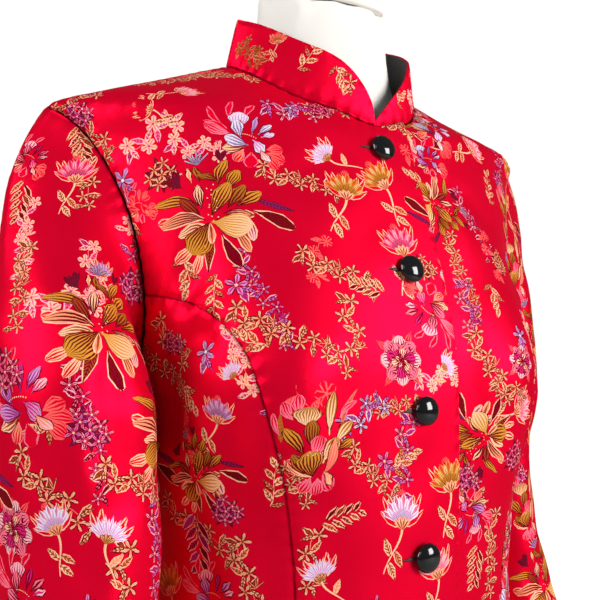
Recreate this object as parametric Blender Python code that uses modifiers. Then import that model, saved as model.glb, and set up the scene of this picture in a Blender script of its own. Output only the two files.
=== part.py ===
"""Tang jacket on a counter dress form.

Metres, +Z up. The jacket faces -Y and the wearer's left is +X. The origin is the middle of the
stand's underside. Places on the jacket are given by their drop below the side neck point, where
the shoulder seam meets the collar. Every cloth piece is a wall with an outer and an inner side.
"""
from collections import namedtuple
import math

import bpy
from mathutils import Vector

# Driving sizes
NECK_POINT_HEIGHT = 0.860      # side neck point above the floor
CLOTH = 0.002                  # interlined brocade, folded in at its edges
SEAM = 0.0003                  # space between neighbouring pieces
TWIST = 0.0003                 # added to it where both edges twist: armholes and neckline
JACKET_LENGTH = 0.610          # side neck point to hem
FRONT_LAP = 0.029              # each front runs this far past the centre line
LAP_GAP = 0.0014               # between the two fronts where they lap
LAP_END = 0.038                # the under front stays low as far as this past the centre
LAP_EASE = 0.024               # width over which it then rises to the body line
COLLAR_HEIGHT = 0.0375
COLLAR_TIP = 0.003             # height left at the notch
COLLAR_FOOT = 0.003            # height at which the collar has turned upright
LINING = 0.001
LINING_BORDER = 0.010          # brocade turned in around the black lining
BUTTON_RADIUS = 0.0093
BUTTON_DEPTH = 0.0075
BUTTON_EDGE = 0.0030            # height of the button's widest place above the cloth
BUTTON_SHANK = 0.0018
SHANK_RADIUS = 0.0032
BUTTON_COUNT = 6
FIRST_BUTTON = 0.0205          # below the neckline, along the front
BUTTON_SPACING = 0.0912
JOIN_DROP = 0.188              # where the princess seam meets the armhole
LINING_START = 0.012           # the lining starts this far from the collar's front ends
CAP_RADIUS = 0.0505
CAP_HEIGHT = 0.016
POLE_RADIUS = 0.014
BASE_RADIUS = 0.150
BASE_HEIGHT = 0.022
COLLECTION = "tang_jacket_on_dress_form"

# Lengths used in working the shapes out
PROBE = 0.0005                 # either way from a point, to find the slope there
SETTLE_REACH = 0.03            # the most that a point moves in one round

# Numbers of steps in the meshes
SEAM_ROWS = 24                 # hem to armhole
JOIN_ROWS = 8                  # princess seam to shoulder, along the armhole
BACK_ROWS = 10                 # underarm to shoulder, along the back armhole
SIDE_COLUMNS = 7               # princess seam to side seam
SHOULDER_COLUMNS = 6
NECK_STEP = 15                 # degrees of neckline for each column
RELAX_ROUNDS = 12              # rounds of evening out a panel's grid
CAP_ROUNDS = 8                 # rounds of evening out the way a sleeve leaves its armhole
CAP_ROWS = 8
ARM_ROWS = 12
CURVE_STEPS = 40               # steps of a curve before it is spread evenly
SETTLE_ROUNDS = 5              # rounds of moving a point onto the body line
COLLAR_ROWS = 4
COLLAR_END_STEPS = (0.10, 0.25, 0.55)   # extra columns at each end, as shares of a step
FORM_SIDES = 30
FORM_STEP = 0.06
BUTTON_SIDES = 16
BUTTON_RINGS = 3
BASE_SIDES = 40

# The body line, the outside of the cloth: horizontal sections from the neck down
Section = namedtuple("Section", "drop half_width front back side_shift roundness")
BODY = [
    Section(-0.006, 0.048, 0.012, 0.071, 0.020, 2.00),
    Section(0.006, 0.070, 0.018, 0.078, 0.020, 2.00),
    Section(0.017, 0.098, 0.026, 0.083, 0.018, 2.00),
    Section(0.026, 0.121, 0.036, 0.087, 0.017, 1.95),
    Section(0.037, 0.149, 0.047, 0.091, 0.015, 1.90),
    Section(0.049, 0.180, 0.059, 0.095, 0.013, 1.85),
    Section(0.060, 0.206, 0.071, 0.099, 0.011, 1.85),
    Section(0.072, 0.2025, 0.076, 0.102, 0.011, 1.90),
    Section(0.088, 0.1935, 0.081, 0.106, 0.011, 2.00),
    Section(0.107, 0.185, 0.087, 0.110, 0.010, 2.15),
    Section(0.145, 0.169, 0.100, 0.115, 0.007, 2.30),
    Section(0.180, 0.159, 0.110, 0.117, 0.005, 2.30),
    Section(0.210, 0.154, 0.116, 0.116, 0.003, 2.30),
    Section(0.240, 0.152, 0.119, 0.112, 0.001, 2.30),
    Section(0.300, 0.146, 0.119, 0.101, 0.000, 2.25),
    Section(0.370, 0.138, 0.117, 0.092, 0.000, 2.20),
    Section(0.440, 0.143, 0.117, 0.099, 0.000, 2.20),
    Section(0.520, 0.157, 0.121, 0.112, 0.000, 2.25),
    Section(0.610, 0.168, 0.125, 0.122, 0.000, 2.30),
]

# Fullness that the princess seams sew in over the bust
BUST_OUT = 0.110
BUST_DROP = 0.243
BUST_FULLNESS = 0.029
BUST_WIDTH = 0.052
BUST_ABOVE = 0.062
BUST_BELOW = 0.105

# Princess seam: distance out from the centre line
Seam = namedtuple("Seam", "drop out")
PRINCESS = [
    Seam(0.1915, 0.144), Seam(0.1955, 0.136), Seam(0.205, 0.1265), Seam(0.221, 0.118),
    Seam(0.248, 0.111), Seam(0.278, 0.103), Seam(0.311, 0.0945), Seam(0.364, 0.085),
    Seam(0.440, 0.082), Seam(0.520, 0.088), Seam(0.610, 0.097),
]

# Armhole: shoulder tip, foremost and rearmost places, underarm
TIP_DROP = 0.060
ARMHOLE_FRONT = Vector((0.1615, -0.034, -0.160))
ARMHOLE_BACK = Vector((0.164, 0.050, -0.150))
UNDERARM_DROP = 0.236
# How its curve leaves each of those places
TIP_FORWARD = Vector((-0.008, -0.030, -0.012))
FRONT_ABOVE = Vector((0.004, 0, 0.045))
FRONT_BELOW = Vector((-0.004, 0, -0.040))
UNDERARM_FORWARD = Vector((0, -0.024, 0))
UNDERARM_REARWARD = Vector((0, 0.030, 0))
BACK_BELOW = Vector((-0.002, 0, -0.042))
BACK_ABOVE = Vector((0.004, 0, 0.042))
TIP_REARWARD = Vector((-0.008, 0.034, -0.010))

# Neckline seen from above
NECK_HALF_WIDTH = 0.075
NECK_FRONT = 0.0745
NECK_BACK = 0.0735
COLLAR_TOP_HALF_WIDTH = 0.067
COLLAR_TOP_FRONT = 0.079
COLLAR_TOP_BACK = 0.056
SHOULDER_ANGLE = 105           # where the shoulder seam meets the collar, from the centre front

# Turned pieces from top to bottom, as shares of their radius and height
Turn = namedtuple("Turn", "radius height")
CAP_PROFILE = [Turn(0, 1), Turn(0.55, 0.93), Turn(0.88, 0.72), Turn(1, 0.45), Turn(1, 0.08),
               Turn(0.98, 0), Turn(0, 0)]
BASE_PROFILE = [Turn(0, 1), Turn(0.20, 1), Turn(0.62, 0.72), Turn(0.95, 0.36), Turn(1, 0.22),
                Turn(1, 0), Turn(0, 0)]

# Front ends of the collar: how far each is swept away, and how roundly
Sweep = namedtuple("Sweep", "length fullness flatness")
RIGHT_END = Sweep(0.060, 2.2, 2.2)
LEFT_END = Sweep(0.075, 1.5, 1.3)

# Sleeve sections from the biceps to the cuff; turn toes the front of the section in
Arm = namedtuple("Arm", "drop centre_x centre_y half_width half_depth turn roundness")
SLEEVES = {
    "right_sleeve": [
        Arm(0.266, 0.2010, -0.021, 0.045, 0.066, 16, 2.4),
        Arm(0.320, 0.1985, -0.021, 0.045, 0.066, 17, 2.4),
        Arm(0.400, 0.1990, -0.022, 0.045, 0.064, 16, 2.3),
        Arm(0.500, 0.2080, -0.024, 0.046, 0.061, 12, 2.2),
        Arm(0.615, 0.2220, -0.028, 0.046, 0.057, 10, 2.1),
    ],
    "left_sleeve": [
        Arm(0.266, 0.1945, 0.029, 0.037, 0.066, 14, 2.0),
        Arm(0.316, 0.1905, 0.034, 0.036, 0.065, 14, 2.0),
        Arm(0.380, 0.1925, 0.034, 0.038, 0.063, 14, 2.0),
        Arm(0.461, 0.2060, 0.024, 0.042, 0.062, 12, 2.0),
        Arm(0.615, 0.2250, 0.010, 0.046, 0.058, 10, 2.1),
    ],
}
# Folds: each is a trough along a line, mirrored on the body
Fold = namedtuple("Fold", "start end depth width")
BODY_FOLDS = [
    Fold(Vector((0.132, -0.070, -0.160)), Vector((0.137, -0.067, -0.194)), 0.0035, 0.012),
    Fold(Vector((0.132, -0.078, -0.214)), Vector((0.148, -0.042, -0.236)), 0.0042, 0.010),
    Fold(Vector((0.121, -0.093, -0.270)), Vector((0.112, -0.094, -0.340)), 0.0022, 0.014),
    Fold(Vector((0.062, 0.090, -0.320)), Vector((0.070, 0.085, -0.420)), 0.0030, 0.015),
    Fold(Vector((0.120, 0.065, -0.250)), Vector((0.142, 0.030, -0.270)), 0.0030, 0.012),
]
SLEEVE_FOLDS = {
    "right_sleeve": [
        Fold(Vector((0.187, -0.087, -0.245)), Vector((0.182, -0.087, -0.305)), 0.0045, 0.015),
        Fold(Vector((0.203, -0.084, -0.315)), Vector((0.205, -0.084, -0.365)), 0.0035, 0.014),
        Fold(Vector((0.160, -0.020, -0.390)), Vector((0.190, -0.083, -0.430)), 0.0045, 0.013),
        Fold(Vector((0.240, 0.020, -0.400)), Vector((0.215, 0.043, -0.440)), 0.0040, 0.015),
    ],
    "left_sleeve": [
        Fold(Vector((0.180, -0.040, -0.250)), Vector((0.176, -0.037, -0.320)), 0.0040, 0.015),
        Fold(Vector((0.160, 0.000, -0.390)), Vector((0.195, -0.040, -0.430)), 0.0045, 0.013),
        Fold(Vector((0.240, 0.040, -0.400)), Vector((0.215, 0.078, -0.440)), 0.0040, 0.015),
    ],
}
# How far each cap runs on in the shoulder's line
CAP_START = {"right_sleeve": 0.056, "left_sleeve": 0.058}
UNDERARM_START = 0.013
UNDERARM_TURN = 78             # degrees between the body line and the sleeve at the underarm
CAP_END = 0.42                 # share of the cap's length that hangs straight

# Dress form. Neck rings are tipped circles; shoulder rings lie just inside the cloth and are
# the neckline's outline, widened; the torso below them is made of horizontal sections.
Neck = namedtuple("Neck", "drop radius centre_y tilt")
NECK = [
    Neck(-0.046, 0.050, -0.004, 0.355),
    Neck(-0.012, 0.051, -0.003, 0.450),
]
NECK_ROOT = 0.78               # width of the neck's root as a share of the neckline
NECK_ROOT_RISE = 0.003         # its height above the neckline
LAP_ROOM = 0.0050              # more room at the centre front, for the under front
SEAT_TURN = 98                 # the cloth rests on the form this many degrees from the front
SEAT_WIDTH = 17
# Shares of the neckline's width and depths; room under the cloth, and where it rests
Shoulder = namedtuple("Shoulder", "across front back room seat_room")
SHOULDERS = [
    Shoulder(1.00, 1.00, 1.00, 0.0048, 0.0035),
    Shoulder(1.35, 1.02, 1.05, 0.0046, 0.0015),
    Shoulder(1.75, 1.04, 1.11, 0.0048, 0.0015),
    Shoulder(2.10, 1.06, 1.17, 0.0062, 0.0045),
    Shoulder(2.34, 1.06, 1.22, 0.0110, 0.0100),
]
Form = namedtuple("Form", "drop half_width front back side_shift roundness")
TORSO = [
    Form(0.116, 0.169, 0.081, 0.104, 0.010, 2.15),
    Form(0.145, 0.162, 0.094, 0.108, 0.007, 2.25),
    Form(0.190, 0.149, 0.106, 0.110, 0.004, 2.25),
    Form(0.240, 0.144, 0.113, 0.105, 0.001, 2.20),
    Form(0.300, 0.132, 0.108, 0.091, 0.000, 2.15),
    Form(0.370, 0.122, 0.099, 0.080, 0.000, 2.10),
    Form(0.440, 0.129, 0.101, 0.087, 0.000, 2.10),
    Form(0.540, 0.147, 0.110, 0.104, 0.000, 2.20),
    Form(0.625, 0.152, 0.112, 0.108, 0.000, 2.25),
    Form(0.645, 0.145, 0.104, 0.100, 0.000, 2.20),
    Form(0.652, 0.122, 0.082, 0.078, 0.000, 2.10),
]
UP = Vector((0, 0, 1))


def read(table, column, at):
    """The value of a column at a drop, on a smooth curve through the rows."""
    drops = [row.drop for row in table]
    values = [getattr(row, column) for row in table]
    last = len(table) - 2
    k = min(max(sum(d <= at for d in drops) - 1, 0), last)

    def slope(i):
        low, high = max(i - 1, 0), min(i + 1, last + 1)
        return (values[high] - values[low]) / (drops[high] - drops[low])

    span = drops[k + 1] - drops[k]
    t = (at - drops[k]) / span
    if t < 0 or t > 1:
        edge = k if t < 0 else k + 1
        return values[edge] + slope(edge) * (at - drops[edge])
    return (values[k] * (1 + 2 * t) * (1 - t) ** 2 + slope(k) * span * t * (1 - t) ** 2
            + values[k + 1] * (3 - 2 * t) * t ** 2 - slope(k + 1) * span * (1 - t) * t ** 2)


def bust(x, drop):
    """Extra depth of the front over each bust."""
    rise = (drop - BUST_DROP) / (BUST_ABOVE if drop < BUST_DROP else BUST_BELOW)
    out = (abs(x) - BUST_OUT) / BUST_WIDTH
    return BUST_FULLNESS * math.exp(-rise * rise - out * out)


def body_value(point):
    """Below zero inside the body line, above zero outside it."""
    drop = -point.z
    half_width = read(BODY, "half_width", drop)
    power = read(BODY, "roundness", drop)
    depth = point.y - read(BODY, "side_shift", drop) * (point.x / half_width) ** 2
    if depth < 0:
        reach = read(BODY, "front", drop) + bust(point.x, drop)
    else:
        reach = read(BODY, "back", drop)
    return ((abs(point.x) / half_width) ** power + (abs(depth) / reach) ** power) ** (1 / power) - 1


def outward(point):
    """Unit normal of the body line at a point."""
    here = Vector()
    for axis in range(3):
        shift = Vector()
        shift[axis] = PROBE
        here[axis] = body_value(point + shift) - body_value(point - shift)
    return here.normalized()


def settle(point):
    """The point moved onto the body line."""
    for _ in range(SETTLE_ROUNDS):
        direction = outward(point)
        ahead = body_value(point + direction * PROBE)
        behind = body_value(point - direction * PROBE)
        slope = (ahead - behind) / (2 * PROBE)
        step = -body_value(point) / slope
        point = point + direction * max(-SETTLE_REACH, min(SETTLE_REACH, step))
    return point


def spread(points, steps):
    """Points at equal distances along a chain."""
    lengths = [0.0]
    for start, end in zip(points, points[1:]):
        lengths.append(lengths[-1] + (end - start).length)
    result = []
    k = 0
    for i in range(steps + 1):
        at = lengths[-1] * i / steps
        while k < len(points) - 2 and lengths[k + 1] < at:
            k += 1
        share = (at - lengths[k]) / (lengths[k + 1] - lengths[k])
        result.append(points[k].lerp(points[k + 1], share))
    return result


def bezier(a, b, c, d, steps):
    """Points on a cubic curve."""
    chain = []
    for i in range(steps + 1):
        t = i / steps
        s = 1 - t
        chain.append(a * s ** 3 + b * (3 * s * s * t) + c * (3 * s * t * t) + d * t ** 3)
    return chain


def front_point(x, drop):
    """The place on the front at a distance from the centre line and a drop."""
    low, high = -0.30, read(BODY, "side_shift", drop)
    for _ in range(40):
        middle = (low + high) / 2
        if body_value(Vector((x, middle, -drop))) > 0:
            low = middle
        else:
            high = middle
    return Vector((x, high, -drop))


def side_point(drop):
    """The place on the side seam, or on the shoulder seam, at a drop."""
    return Vector((read(BODY, "half_width", drop), read(BODY, "side_shift", drop), -drop))


def plan_point(angle, across=1.0, front=1.0, back=1.0):
    """A place on the body line, found from above.

    The angle is in degrees from the centre front. The neckline's outline is at 1, 1, 1, and
    larger shares give wider rings on the shoulders.
    """
    turn = math.radians(angle)
    depth = NECK_FRONT * front if math.cos(turn) > 0 else NECK_BACK * back
    x, y = NECK_HALF_WIDTH * across * math.sin(turn), -depth * math.cos(turn)
    low, high = -0.006, 0.16
    for _ in range(40):
        middle = (low + high) / 2
        if body_value(Vector((x, y, -middle))) > 0:
            low = middle
        else:
            high = middle
    return Vector((x, y, -high))


# Curves on the wearer's left half; the right half is their mirror image

def armhole_front():
    """Shoulder tip to underarm along the front."""
    tip, underarm = side_point(TIP_DROP), side_point(UNDERARM_DROP)
    upper = bezier(tip, tip + TIP_FORWARD, ARMHOLE_FRONT + FRONT_ABOVE, ARMHOLE_FRONT,
                   CURVE_STEPS)
    lower = bezier(ARMHOLE_FRONT, ARMHOLE_FRONT + FRONT_BELOW, underarm + UNDERARM_FORWARD,
                   underarm, CURVE_STEPS)
    return [settle(p) for p in upper + lower[1:]]


def armhole_back():
    """Underarm to shoulder tip along the back."""
    tip, underarm = side_point(TIP_DROP), side_point(UNDERARM_DROP)
    lower = bezier(underarm, underarm + UNDERARM_REARWARD, ARMHOLE_BACK + BACK_BELOW,
                   ARMHOLE_BACK, CURVE_STEPS)
    upper = bezier(ARMHOLE_BACK, ARMHOLE_BACK + BACK_ABOVE, tip + TIP_REARWARD, tip,
                   CURVE_STEPS)
    return [settle(p) for p in lower + upper[1:]]


def split_armhole():
    """The front armhole above and below the princess seam."""
    chain = armhole_front()
    k = next(i for i, p in enumerate(chain) if -p.z > JOIN_DROP)
    share = (JOIN_DROP + chain[k - 1].z) / (chain[k - 1].z - chain[k].z)
    join = chain[k - 1].lerp(chain[k], share)
    return spread(chain[:k] + [join], JOIN_ROWS), spread([join] + chain[k:], SIDE_COLUMNS)


def princess_seam(join):
    """Hem to armhole over the bust."""
    table = [Seam(-join.z, join.x)] + PRINCESS
    steps = 200
    chain = []
    for i in range(steps + 1):
        drop = JACKET_LENGTH + (-join.z - JACKET_LENGTH) * i / steps
        chain.append(front_point(read(table, "out", drop), drop))
    return [settle(p) for p in spread(chain, SEAM_ROWS)]


def side_seam():
    """Hem to underarm."""
    steps = 60
    drops = [JACKET_LENGTH + (UNDERARM_DROP - JACKET_LENGTH) * i / steps for i in range(steps + 1)]
    return spread([side_point(d) for d in drops], SEAM_ROWS)


def shoulder_seam():
    """Collar to shoulder tip."""
    neck_drop = -plan_point(SHOULDER_ANGLE).z
    steps = 20
    chain = [side_point(neck_drop + (TIP_DROP - neck_drop) * i / steps) for i in range(steps + 1)]
    return spread(chain, SHOULDER_COLUMNS)


def hem_part(start, end, steps):
    """The hem between two of its points."""
    chain = [settle(start.lerp(end, i / CURVE_STEPS)) for i in range(CURVE_STEPS + 1)]
    level = [Vector((p.x, p.y, -JACKET_LENGTH)) for p in chain]
    return spread(level, steps)


def patch(bottom, top, left, right):
    """A grid between four chains that share their corners, laid on the body line."""
    rows, columns = len(left) - 1, len(bottom) - 1
    grid = []
    for j in range(rows + 1):
        v = j / rows
        line = []
        for i in range(columns + 1):
            u = i / columns
            point = (bottom[i] * (1 - v) + top[i] * v + left[j] * (1 - u) + right[j] * u
                     - bottom[0] * ((1 - u) * (1 - v)) - bottom[-1] * (u * (1 - v))
                     - top[0] * ((1 - u) * v) - top[-1] * (u * v))
            edge = i in (0, columns) or j in (0, rows)
            line.append(point if edge else settle(point))
        grid.append(line)
    return grid


def front_grid():
    """Centre front panel: columns from its free edge to the princess seam."""
    upper, _ = split_armhole()
    seam = princess_seam(upper[-1])
    side = seam + upper[-2::-1]
    angles = [-math.degrees(math.asin(FRONT_LAP / NECK_HALF_WIDTH))]
    angles += range(-NECK_STEP, SHOULDER_ANGLE, NECK_STEP)
    top = [plan_point(a) for a in angles] + shoulder_seam()
    top_drop = -top[0].z
    steps = len(side) - 1
    drops = [JACKET_LENGTH + (top_drop - JACKET_LENGTH) * i / steps for i in range(steps + 1)]
    edge = [front_point(-FRONT_LAP, d) for d in drops]
    edge[-1] = top[0]
    bottom = hem_part(edge[0], side[0], len(top) - 1)
    bottom[0], bottom[-1] = edge[0], side[0]
    return relaxed(patch(bottom, top, edge, side))


def side_grid():
    """Side front panel: columns from the princess seam to the side seam."""
    upper, lower = split_armhole()
    left, right = princess_seam(upper[-1]), side_seam()
    return patch(hem_part(left[0], right[0], SIDE_COLUMNS), lower, left, right)


def back_side():
    """Underarm to shoulder tip, then to the collar: the side of half a back."""
    return side_seam()[:-1] + spread(armhole_back(), BACK_ROWS)


def mirrored(points):
    """The same chain on the wearer's right."""
    return [Vector((-p.x, p.y, p.z)) for p in points]


def back_grid():
    """Back panel: columns from the right side seam to the left one."""
    left = back_side()
    right = mirrored(left)
    shoulder = shoulder_seam()
    angles = range(-SHOULDER_ANGLE - NECK_STEP, SHOULDER_ANGLE - 360, -NECK_STEP)
    neck = [plan_point(a) for a in angles]
    top = mirrored(shoulder)[::-1] + neck + shoulder
    columns = len(top) - 1
    chain = []
    for i in range(81):
        turn = math.pi * i / 80
        half_width = read(BODY, "half_width", JACKET_LENGTH)
        depth = read(BODY, "back", JACKET_LENGTH)
        chain.append(settle(Vector((-half_width * math.cos(turn), depth * math.sin(turn),
                                    -JACKET_LENGTH))))
    bottom = spread([Vector((p.x, p.y, -JACKET_LENGTH)) for p in chain], columns)
    bottom[0], bottom[-1] = right[0], left[0]
    return relaxed(patch(bottom, top, right, left))


def relaxed(grid):
    """The grid with its inner points drawn evenly between their neighbours."""
    for _ in range(RELAX_ROUNDS):
        before = [list(line) for line in grid]
        for j in range(1, len(grid) - 1):
            for i in range(1, len(grid[0]) - 1):
                grid[j][i] = (before[j - 1][i] + before[j + 1][i] + before[j][i - 1]
                              + before[j][i + 1]) / 4
    inner = range(1, len(grid[0]) - 1)
    for line in grid[1:-1]:
        for i in inner:
            line[i] = settle(line[i])
    return grid


def normals_of(grid):
    """Body line normals at the points of a grid."""
    return [[outward(p) for p in line] for line in grid]


def fold_depth(folds, point):
    """How far the folds sink the cloth at a point of either half."""
    place = Vector((abs(point.x), point.y, point.z))
    depth = 0.0
    for fold in folds:
        along = fold.end - fold.start
        share = max(0.0, min(1.0, (place - fold.start).dot(along) / along.length_squared))
        gap = (place - fold.start - along * share).length / fold.width
        depth += fold.depth * math.exp(-gap * gap)
    return depth


def folded(grid, normals, folds):
    """The grid with its folds pressed in."""
    return [[p - n * fold_depth(folds, p) for p, n in zip(line, facing)]
            for line, facing in zip(grid, normals)]


def trim(grid, normals, edges):
    """Draw the named seamed edges of a panel back by half a seam."""
    rows, columns = len(grid) - 1, len(grid[0]) - 1
    result = [[p.copy() for p in line] for line in grid]
    for j in range(rows + 1):
        for i in range(columns + 1):
            along_row = grid[j][min(i + 1, columns)] - grid[j][max(i - 1, 0)]
            along_column = grid[min(j + 1, rows)][i] - grid[max(j - 1, 0)][i]
            for name, at_edge, tangent, inside in (
                    ("left", i == 0, along_column, along_row),
                    ("right", i == columns, along_column, -along_row),
                    ("bottom", j == 0, along_row, along_column),
                    ("top", j == rows, along_row, -along_column)):
                if at_edge and name in edges:
                    across = normals[j][i].cross(tangent).normalized()
                    if across.dot(inside) < 0:
                        across = -across
                    result[j][i] += across * (SEAM / 2)
    return result


def wall(name, outer, normals, material, thickness=CLOTH, ring=False):
    """A closed wall: the outer grid, an inner grid below it, and rims between them."""
    rows, columns = len(outer), len(outer[0])
    points = [p for line in outer for p in line]
    points += [p - n * thickness for line, turned in zip(outer, normals)
               for p, n in zip(line, turned)]
    inner = rows * columns
    around = columns if ring else columns - 1
    faces = []
    for j in range(rows - 1):
        for i in range(around):
            k = (i + 1) % columns
            a, b = j * columns + i, j * columns + k
            c, d = b + columns, a + columns
            faces.append((a, b, c, d))
            faces.append((inner + a, inner + d, inner + c, inner + b))
    for i in range(around):
        k = (i + 1) % columns
        last = (rows - 1) * columns
        faces.append((k, i, inner + i, inner + k))
        faces.append((last + i, last + k, inner + last + k, inner + last + i))
    if not ring:
        for j in range(rows - 1):
            a, d = j * columns, (j + 1) * columns
            faces.append((a, d, inner + d, inner + a))
            a, d = a + columns - 1, d + columns - 1
            faces.append((d, a, inner + a, inner + d))
    return solid(name, points, faces, material)


def solid(name, points, faces, material):
    """A named object with its faces pointing out."""
    mesh = bpy.data.meshes.new(name)
    mesh.from_pydata(points, [], faces)
    mesh.materials.append(material)
    mesh.shade_smooth()
    mesh.set_sharp_from_angle(angle=math.radians(35))
    volume = sum(mesh.vertices[f.vertices[0]].co.dot(f.normal) * f.area for f in mesh.polygons)
    if volume < 0:
        mesh.flip_normals()
    thing = bpy.data.objects.new(name, mesh)
    thing.location.z = NECK_POINT_HEIGHT
    bpy.data.collections[COLLECTION].objects.link(thing)
    return thing


def lap_depth(x):
    """How far the under front lies inside the body line, by distance past the centre."""
    t = max(0.0, min(1.0, (x - LAP_END) / LAP_EASE))
    return (CLOTH + LAP_GAP) * (1 - t * t * (3 - 2 * t))


def make_fronts(cloth):
    """The right front on the body line, and the left front tucked under it."""
    grid = front_grid()
    normals = normals_of(grid)
    outer = folded(trim(grid, normals, ("right", "top")), normals, BODY_FOLDS)
    under = [[p - n * lap_depth(p.x) for p, n in zip(line, turned)]
             for line, turned in zip(outer, normals)]
    wall("right_front", [mirrored(line) for line in outer],
         [mirrored(line) for line in normals], cloth)
    wall("left_front", under, normals, cloth)


def make_sides(cloth):
    """Two side fronts, mirror images."""
    grid = side_grid()
    normals = normals_of(grid)
    outer = folded(trim(grid, normals, ("left", "right", "top")), normals, BODY_FOLDS)
    wall("left_side_front", outer, normals, cloth)
    wall("right_side_front", [mirrored(line) for line in outer],
         [mirrored(line) for line in normals], cloth)


def make_back(cloth):
    """The back panel."""
    grid = back_grid()
    normals = normals_of(grid)
    outer = folded(trim(grid, normals, ("left", "right", "top")), normals, BODY_FOLDS)
    wall("back", outer, normals, cloth)


def collar_rise(arc, end):
    """Height of the collar at a distance from one of its front ends."""
    if arc >= end.length:
        return COLLAR_HEIGHT
    swept = (1 - (1 - arc / end.length) ** end.fullness) ** (1 / end.flatness)
    return max(COLLAR_TIP, COLLAR_HEIGHT * swept)


def neckline():
    """Points around the neckline from the right end of the collar to its left end.

    Each is its place, the body normal there, the direction across the seam and its angle.
    """
    whole = list(range(0, 361, NECK_STEP))
    corners = {a: plan_point(-a) for a in whole}
    ends = [NECK_STEP * share for share in COLLAR_END_STEPS]
    angles = whole[:1] + ends + whole[1:-1] + [360 - a for a in reversed(ends)] + whole[-1:]
    places = []
    for a in angles:
        low = int(a // NECK_STEP) * NECK_STEP
        high = min(low + NECK_STEP, 360)
        share = (a - low) / NECK_STEP
        places.append(corners[low].lerp(corners[high], share))
    result = []
    for k, (a, place) in enumerate(zip(angles, places)):
        tangent = places[min(k + 1, len(places) - 1)] - places[max(k - 1, 0)]
        up = outward(place)
        across = up.cross(tangent).normalized()
        if across.dot(Vector((-place.x, -place.y, 0))) < 0:
            across = -across
        result.append((place, up, across, a))
    return result


def collar_stand():
    """The collar's outer side: for each neckline point its foot, and the way up to its top."""
    line = neckline()
    arc = 0.0
    total = sum((b[0] - a[0]).length for a, b in zip(line, line[1:]))
    stand = []
    for k, (place, up, across, angle) in enumerate(line):
        if k:
            arc += (place - line[k - 1][0]).length
        from_end = min(arc, total - arc)
        rise = collar_rise(from_end, RIGHT_END if angle < 180 else LEFT_END)
        sink = lap_depth(place.x) if place.x > -SEAM and angle > 180 else 0.0
        foot = place + across * (SEAM / 2 + TWIST) - up * sink
        if from_end == 0:
            foot.x += -SEAM if angle < 180 else SEAM
        turn = math.radians(-angle)
        depth = COLLAR_TOP_FRONT if math.cos(turn) > 0 else COLLAR_TOP_BACK
        top = Vector((COLLAR_TOP_HALF_WIDTH * math.sin(turn), -depth * math.cos(turn),
                      foot.z + COLLAR_HEIGHT))
        flat = Vector((up.x, up.y, 0)).normalized()
        top -= flat * sink
        if from_end == 0:
            top.x = foot.x
        lean = (top - foot) / COLLAR_HEIGHT
        stand.append((foot, up, flat, lean, rise, from_end))
    return stand


def make_collar(cloth, lining):
    """The standing collar and the lining inside it."""
    stand = collar_stand()
    shares = [i / COLLAR_ROWS for i in range(COLLAR_ROWS + 1)]
    outer, turned = [], []
    for share in [0.0] + shares:
        first = not outer
        outer.append([foot + lean * (0 if first else COLLAR_FOOT / 2 + share
                                     * (rise - COLLAR_FOOT / 2))
                      for foot, up, flat, lean, rise, _ in stand])
        turned.append([up if first else flat for _, up, flat, _, _, _ in stand])
    wall("collar", outer, turned, cloth)
    inside = [entry for entry in stand if entry[5] > LINING_START]
    inner, turned = [], []
    for share in shares:
        inner.append([foot - flat * (CLOTH + SEAM)
                      + lean * (COLLAR_FOOT + share * (rise - LINING_BORDER - COLLAR_FOOT))
                      for foot, _, flat, lean, rise, _ in inside])
        turned.append([entry[2] for entry in inside])
    wall("collar_lining", inner, turned, lining, thickness=LINING)


def armhole_ring():
    """Shoulder tip, front, underarm, back: places, body normals and the way into the sleeve."""
    upper, lower = split_armhole()
    chain = upper[:-1] + lower[:-1] + spread(armhole_back(), BACK_ROWS)[:-1]
    middle = sum(chain, Vector()) / len(chain)
    ring = []
    for k, place in enumerate(chain):
        tangent = chain[(k + 1) % len(chain)] - chain[k - 1]
        up = outward(place)
        across = up.cross(tangent).normalized()
        if across.dot(middle - place) < 0:
            across = -across
        ring.append((place - up * fold_depth(BODY_FOLDS, place), up, across))
    return ring


def sleeve_angles(ring):
    """An angle for each armhole point: 0 at the shoulder tip, 180 degrees at the underarm."""
    places = [entry[0] for entry in ring] + [ring[0][0]]
    lengths = [(b - a).length for a, b in zip(places, places[1:])]
    front = JOIN_ROWS + SIDE_COLUMNS
    front_total, back_total = sum(lengths[:front]), sum(lengths[front:])
    angles, run = [], 0.0
    for k in range(len(ring)):
        if k <= front:
            angles.append(math.pi * run / front_total)
        else:
            angles.append(math.pi * (1 + (run - front_total) / back_total))
        run += lengths[k]
    return angles


def arm_point(table, drop, angle):
    """A place on the hanging part of a sleeve."""
    turn = math.radians(read(table, "turn", drop))
    power = read(table, "roundness", drop)
    swell = (abs(math.cos(angle)) ** power + abs(math.sin(angle)) ** power) ** (-1 / power)
    out = read(table, "half_width", drop) * math.cos(angle) * swell
    ahead = read(table, "half_depth", drop) * math.sin(angle) * swell
    return Vector((read(table, "centre_x", drop) + out * math.cos(turn) - ahead * math.sin(turn),
                   read(table, "centre_y", drop) - out * math.sin(turn) - ahead * math.cos(turn),
                   -drop))


def ring_normals(grid):
    """Outward normals of a tube given by its rings."""
    rows, columns = len(grid), len(grid[0])
    result = []
    for j in range(rows):
        line = []
        for i in range(columns):
            around = grid[j][(i + 1) % columns] - grid[j][i - 1]
            down = grid[min(j + 1, rows - 1)][i] - grid[max(j - 1, 0)][i]
            line.append(down.cross(around).normalized())
        result.append(line)
    return result


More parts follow.
